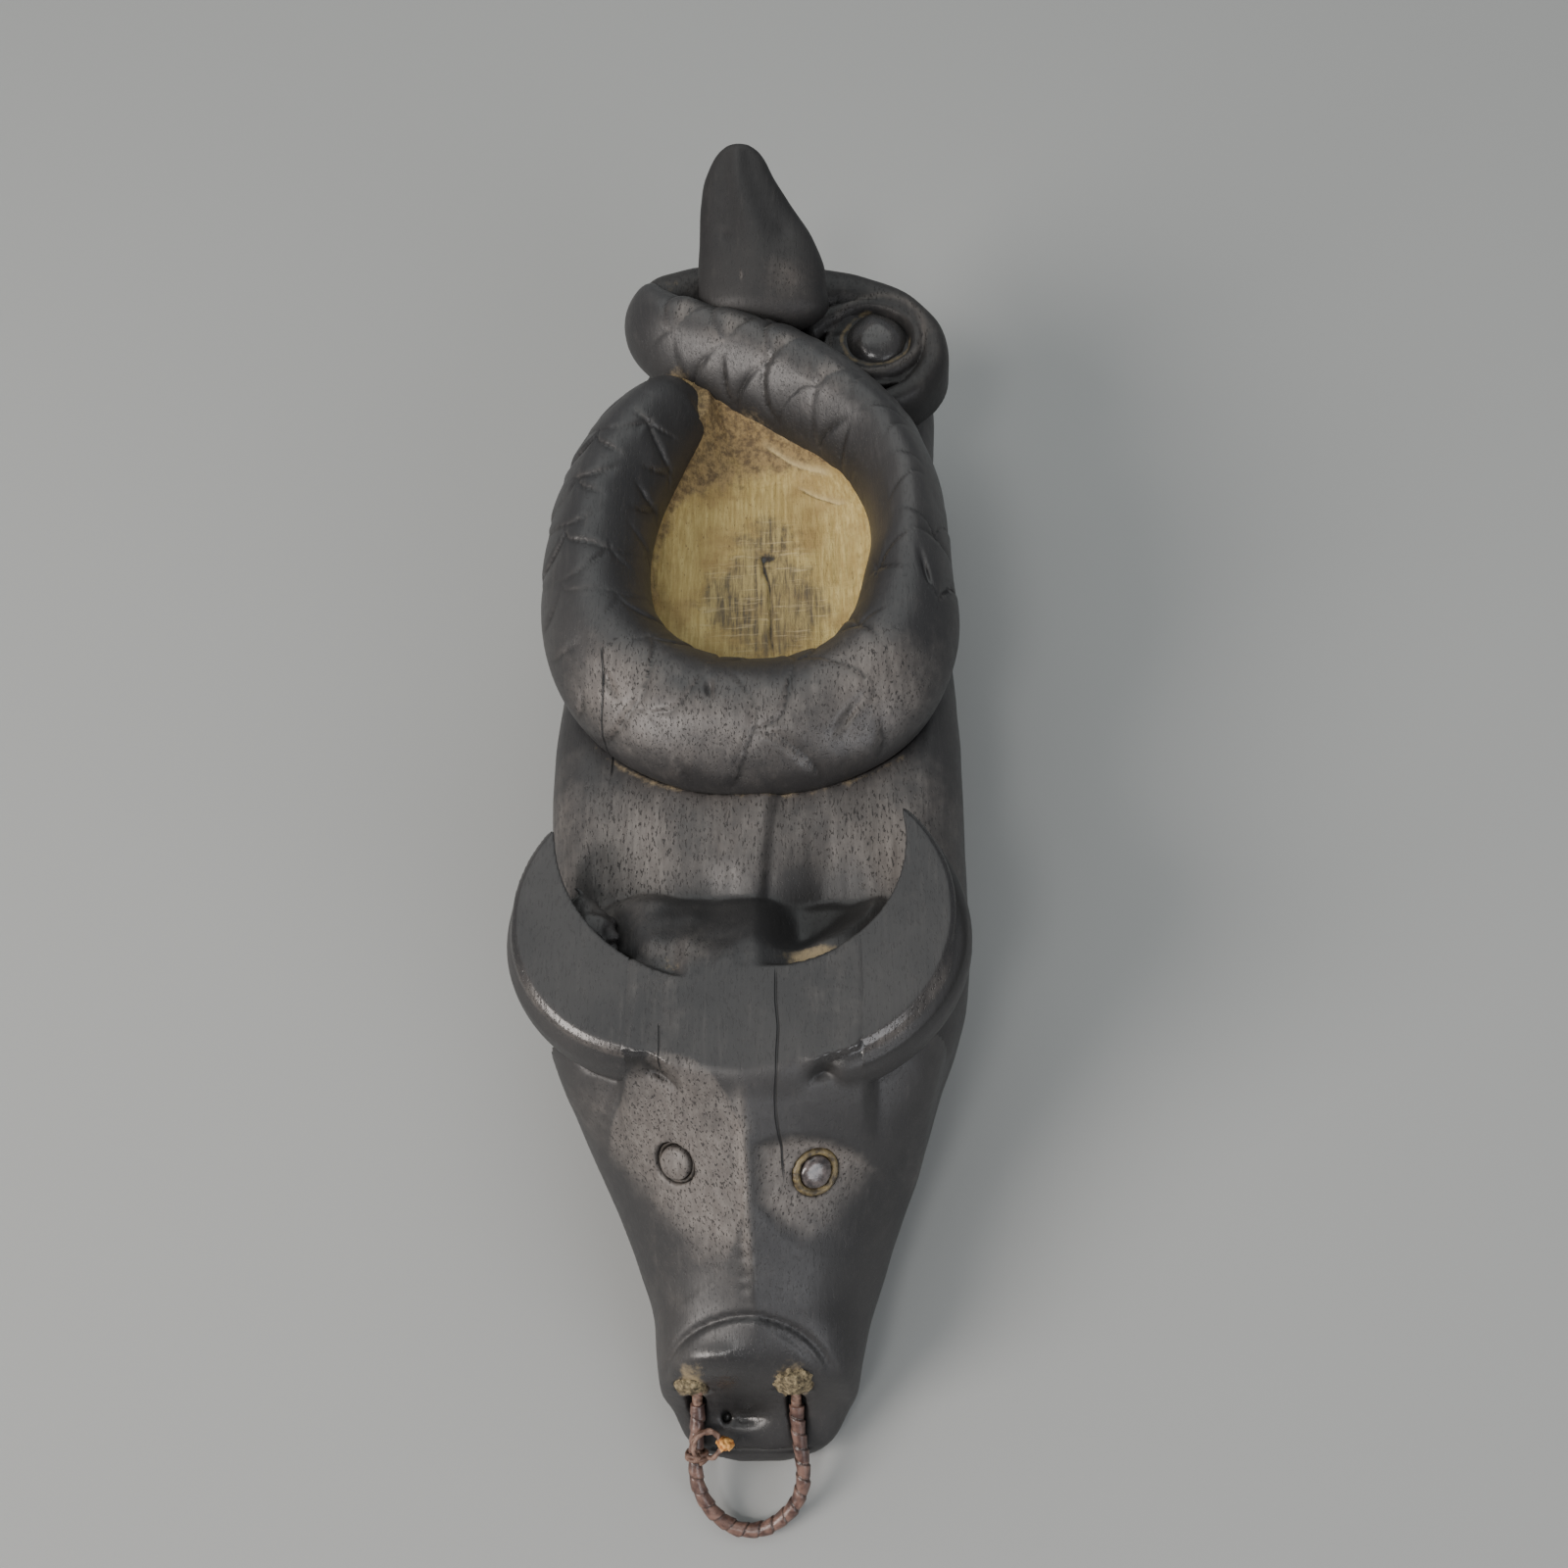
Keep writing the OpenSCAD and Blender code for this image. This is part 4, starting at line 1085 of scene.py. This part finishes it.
def make_eye(which):
    eye = EYES[which]
    r, socket = eye["plug"], eye["socket"]
    matrix = eye_matrix(which)
    lift = 0.0 if which == "left" else 0.35
    plug_profile = [(r * 0.5, -5.6), (r * 0.97, -5.6), (r * 0.97, -0.5 + lift), (r * 0.93, -0.1 + lift),
                    (r * 0.8, 0.15 + lift), (r * 0.5, 0.3 + lift), (r * 0.2, 0.36 + lift)]
    plug = lathe(f"{which}_eye", plug_profile, matrix, wobble=0.05, seed=3)
    paint(plug, worn=0.75 if which == "left" else 0.2)
    place(plug, DARK if which == "left" else GLOSS, CARVING, "dark_wood", f"{which}_eye")
    top = -1.0 if which == "left" else 0.1
    ring_profile = [(r * 1.0, -5.4), (socket - 0.05, -5.4), (socket - 0.05, top - 0.3), (socket - 0.25, top),
                    ((r + socket) / 2, top + 0.25), (r + 0.15, top), (r * 1.0, top - 0.4)]
    ring = closed_lathe(f"{which}_eye_bedding", ring_profile, matrix, wobble=0.04)
    place(ring, LEFT_BEDDING if which == "left" else BEDDING, CARVING, "bedding", f"{which}_eye_bedding")


def make_packing(which, side_sign, size, rise):
    """A crumbly plug in the upper half of a nostril, clear of the ring's leg."""
    cx = PIVOT[0] + side_sign * LEG_X + 0.2 * side_sign

    def field(x, y, z):
        blob = np.sqrt(((x - cx) / (2.6 * size)) ** 2 + ((y + 100.0) / (1.75 * size)) ** 2
                       + ((z - 22.6 - rise) / (2.4 * size + rise)) ** 2) - 1
        blob = blob * 2.2 + 0.34 * noise(x, y, z, 1.0, 41) + 0.2 * noise(x, y, z, 0.5, 42)
        return np.maximum(blob, 0.15 - leg_room(side_sign, x, y, z, 1.62))

    points, quads = surface_of(field, (cx - 5, -105, 17), (cx + 5, -95, 31), 0.25)
    obj = make_mesh(f"{which}_nostril_packing", points, quads)
    return place(obj, PACKING, CARVING, "packing", f"{which}_nostril_packing")


# ---------------------------------------------------------------- the nose ring

def ring_point(leg, out, up=0.0):
    """A point of the ring's plane at rest: sideways, out along the legs, and off the plane."""
    c, s = math.cos(RING_DROOP), math.sin(RING_DROOP)
    return np.stack([PIVOT[0] + leg, PIVOT[1] - out * c - up * s, PIVOT[2] - out * s + up * c], -1)


def ring_path(step):
    """Centre line from the left leg's root round the bend to the right leg's root."""
    leg = [(LEG_X, 0), (LEG_X + 0.1, 3), (8.9, 8), (9.2, 13), (9.0, 17), (7.6, 20.8), (5, 23.7), (1.8, 25.3)]
    plan = [(-x, y) for x, y in leg] + leg[::-1]
    rows, at = along([(px, py, 0, 0) for px, py in plan], step)
    wave = 0.12 * np.sin(at / 3.1)
    return rows[:, :2] + np.stack([wave, 0.6 * wave], 1), at


def ring_tube(name, first, last, radius):
    """A tube round the ring's centre line; radius takes distance and angle."""
    plan, at = ring_path(0.2)
    use = (at >= first) & (at <= at[-1] - last)
    plan, at = plan[use], at[use]
    tangent = np.gradient(plan, axis=0)
    tangent /= np.linalg.norm(tangent, axis=1)[:, None]
    side = np.stack([tangent[:, 1], -tangent[:, 0]], 1)
    angle = np.linspace(0, 2 * math.pi, 40, endpoint=False)
    a, s = np.meshgrid(angle, at)
    r = radius(s, a)
    flat = plan[:, None] + side[:, None] * (r * np.cos(a))[..., None]
    points = ring_point(flat[..., 0], flat[..., 1], r * np.sin(a))
    points[..., 2] = np.maximum(points[..., 2], 0.15)
    return ribbon(name, points[:, ::-1])


def make_ring():
    twist = 2.7

    def strip(s, a):
        turn = s / twist + a / (2 * math.pi)
        part = np.mod(turn + 0.05 * np.sin(np.floor(turn) * 5.1), 1.0)
        edge = hump(part - 1, 0.05) + hump(part, 0.04)
        return 1.1 + 0.27 * part ** 0.8 - 0.2 * edge + 0.03 * np.sin(np.floor(turn) * 3.3)

    binding, _ = ring_tube("ring_binding", 2.4, 2.8, strip)
    plan, at = ring_path(0.2)
    use = (at >= 2.4) & (at <= at[-1] - 2.8)
    angle = np.linspace(0, 2 * math.pi, 40, endpoint=False)[::-1]
    a, s = np.meshgrid(angle, at[use])
    part = np.mod(s / twist + a / (2 * math.pi), 1.0)
    # Painted shade in the groove between the binding's turns.
    line = np.append((hump(part - 1, 0.07) + hump(part, 0.05)).ravel(), [0, 0])
    paint(binding, deep=0.75 * line)
    place(binding, BINDING, RING, "binding", "ring_binding")

    def cord(s, a):
        return 0.82 + 0.1 * np.abs(np.sin(1.5 * (a + s * 2.4)))

    core, _ = ring_tube("ring_core", 0.0, 0.0, cord)
    place(core, CORD, RING, "cord", "ring_core")
    pin = [[(PIVOT[0] + x, PIVOT[1] + 0.85 * math.cos(t), PIVOT[2] + 0.85 * math.sin(t))
            for t in np.linspace(0, 2 * math.pi, 24, endpoint=False)] for x in np.linspace(-LEG_X, LEG_X, 30)]
    pin, _ = ribbon("ring_pin", np.array(pin)[:, ::-1])
    place(pin, CORD, RING, "cord")


def cord_loop(name, plan, radius, material, slot, nodes):
    rows, at = along(plan, 0.2)
    points = rows[:, :3]
    tangent = np.gradient(points, axis=0)
    tangent /= np.linalg.norm(tangent, axis=1)[:, None]
    side = np.cross(tangent, (0.0, 0.35, 0.94))
    side /= np.linalg.norm(side, axis=1)[:, None]
    lift = np.cross(side, tangent)
    angle = np.linspace(0, 2 * math.pi, 16, endpoint=False)
    a, s = np.meshgrid(angle, at)
    r = radius * (1 + 0.14 * np.sin(2 * a + s * 3.2))
    rings = points[:, None] + side[:, None] * (r * np.cos(a))[..., None]
    rings = rings + lift[:, None] * (r * np.sin(a))[..., None]
    obj, _ = ribbon(name, rings)
    return place(obj, material, RING, slot, *nodes)


def make_tie():
    left = -9.0
    plan = []
    for k in range(37):
        t = k / 36 * 2 * math.pi * 1.6 + 2.2
        across = left + 2.2 + (2.5 + 0.25 * math.sin(k)) * math.cos(t)
        out = 9.2 + (2.5 + 0.2 * math.cos(k * 1.3)) * math.sin(t)
        up = 1.35 + 0.75 * math.sin(t * 0.5 + 0.6) + 0.25 * k / 36
        plan.append((*ring_point(across, out, up), 0))
    cord_loop("ring_tie", plan, 0.42, CORD, "cord", ["ring_tie"])
    wrap = []
    for k in range(41):
        t = k / 40 * 2 * math.pi * 2.2
        wrap.append((*ring_point(left + 1.75 * math.cos(t), 11.0 + k * 0.035, 1.75 * math.sin(t)), 0))
    cord_loop("ring_tie_wrap", wrap, 0.36, CORD, "cord", [])
    centre = ring_point(left + 5.2, 8.6, 1.9)

    def field(x, y, z):
        blob = np.sqrt((x / 1.5) ** 2 + (y / 1.25) ** 2 + (z / 1.15) ** 2) - 1
        return blob * 1.2 + 0.3 * noise(x, y, z, 0.8, 51) + 0.16 * noise(x * 2.5, y, z, 0.6, 52)

    points, quads = surface_of(field, (-2.6, -2.6, -2.6), (2.6, 2.6, 2.6), 0.16)
    knot = make_mesh("tie_end", points + centre, quads)
    place(knot, AMBER, RING, "tie_end", "tie_end")


# ---------------------------------------------------------------- stage

# The camera of the photograph, in millimetres: where it stands and what it looks at.
CAMERA_AT, CAMERA_AIM = Vector((23.52, -145.0, 300.54)), Vector((6, 0, 50))
LENS = 36
# Each light: place and aim in metres, size, power and colour.
LIGHTS = {
    "sky_back": ((-0.05, 0.6, 1.15), (0, 0.02, 0.04), 1.7, 9.6, (0.95, 1.0, 0.98)),
    "front_left": ((-0.8, -0.45, 0.7), (0, 0, 0.04), 0.6, 15.0, (1.0, 0.93, 0.88)),
    "front_right": ((0.6, -0.75, 0.5), (0, -0.02, 0.03), 0.6, 4.5, (0.95, 0.96, 1.0)),
    "window": ((-0.16, -0.42, 0.7), (0, -0.1, 0.02), 0.14, 1.4, (1.0, 0.98, 0.96)),
}
FLOOR_REACH = 3000
FLOOR_COLOR = (0.278, 0.283, 0.278)
SKY_COLOR, SKY_STRENGTH = (0.92, 0.95, 1.0, 1), 0.34


def make_camera():
    data = bpy.data.cameras.new("camera")
    data.lens = data.sensor_width = LENS
    camera = bpy.data.objects.new("camera", data)
    bpy.context.scene.collection.objects.link(camera)
    forward = (CAMERA_AIM - CAMERA_AT).normalized()
    right = forward.cross(Vector((0, 1, 0))).normalized()
    turn = Matrix((right, right.cross(forward), -forward)).transposed().to_4x4()
    camera.matrix_world = Matrix.Translation(CAMERA_AT * MM) @ turn
    data.clip_start, data.clip_end = 0.01, 20
    bpy.context.scene.camera = camera


def area_light(name, at, aim, size, power, color):
    data = bpy.data.lights.new(name, "AREA")
    data.shape, data.size, data.energy, data.color = "DISK", size, power, color
    light = bpy.data.objects.new(name, data)
    light.location = at
    light.rotation_mode = "QUATERNION"
    light.rotation_quaternion = (Vector(aim) - Vector(at)).to_track_quat("-Z", "Y")
    bpy.context.scene.collection.objects.link(light)
    return light


def make_stage():
    corners = np.array([(-1, -1, 0), (1, -1, 0), (1, 1, 0), (-1, 1, 0)]) * FLOOR_REACH
    floor = make_mesh("floor", corners, [[0, 1, 2, 3]], False)
    floor.data.materials.append(Nodes("floor").finish(FLOOR_COLOR, 0.9, None, 0.2))
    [area_light(name, *settings) for name, settings in LIGHTS.items()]
    world = bpy.data.worlds.new("world")
    world.use_nodes = True
    background = world.node_tree.nodes["Background"]
    background.inputs["Color"].default_value = SKY_COLOR
    background.inputs["Strength"].default_value = SKY_STRENGTH
    bpy.context.scene.world = world


def dress_hidden():
    """Dowels stay as the frame makes them, in raw wood."""
    for name in ("horn_dowels", "coil_dowels", "head_dowel"):
        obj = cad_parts[name]
        obj.data.materials.clear()
        obj.data.materials.append(PALE)


make_camera()
make_stage()
make_block()
make_horn("left")
make_horn("right")
make_coil()
make_tail()
make_peg()
make_head()
make_well()
make_eye("left")
make_eye("right")
make_packing("left", -1, 1.15, 0.3)
make_packing("right", 1, 1.35, 1.4)
make_ring()
make_tie()
dress_hidden()
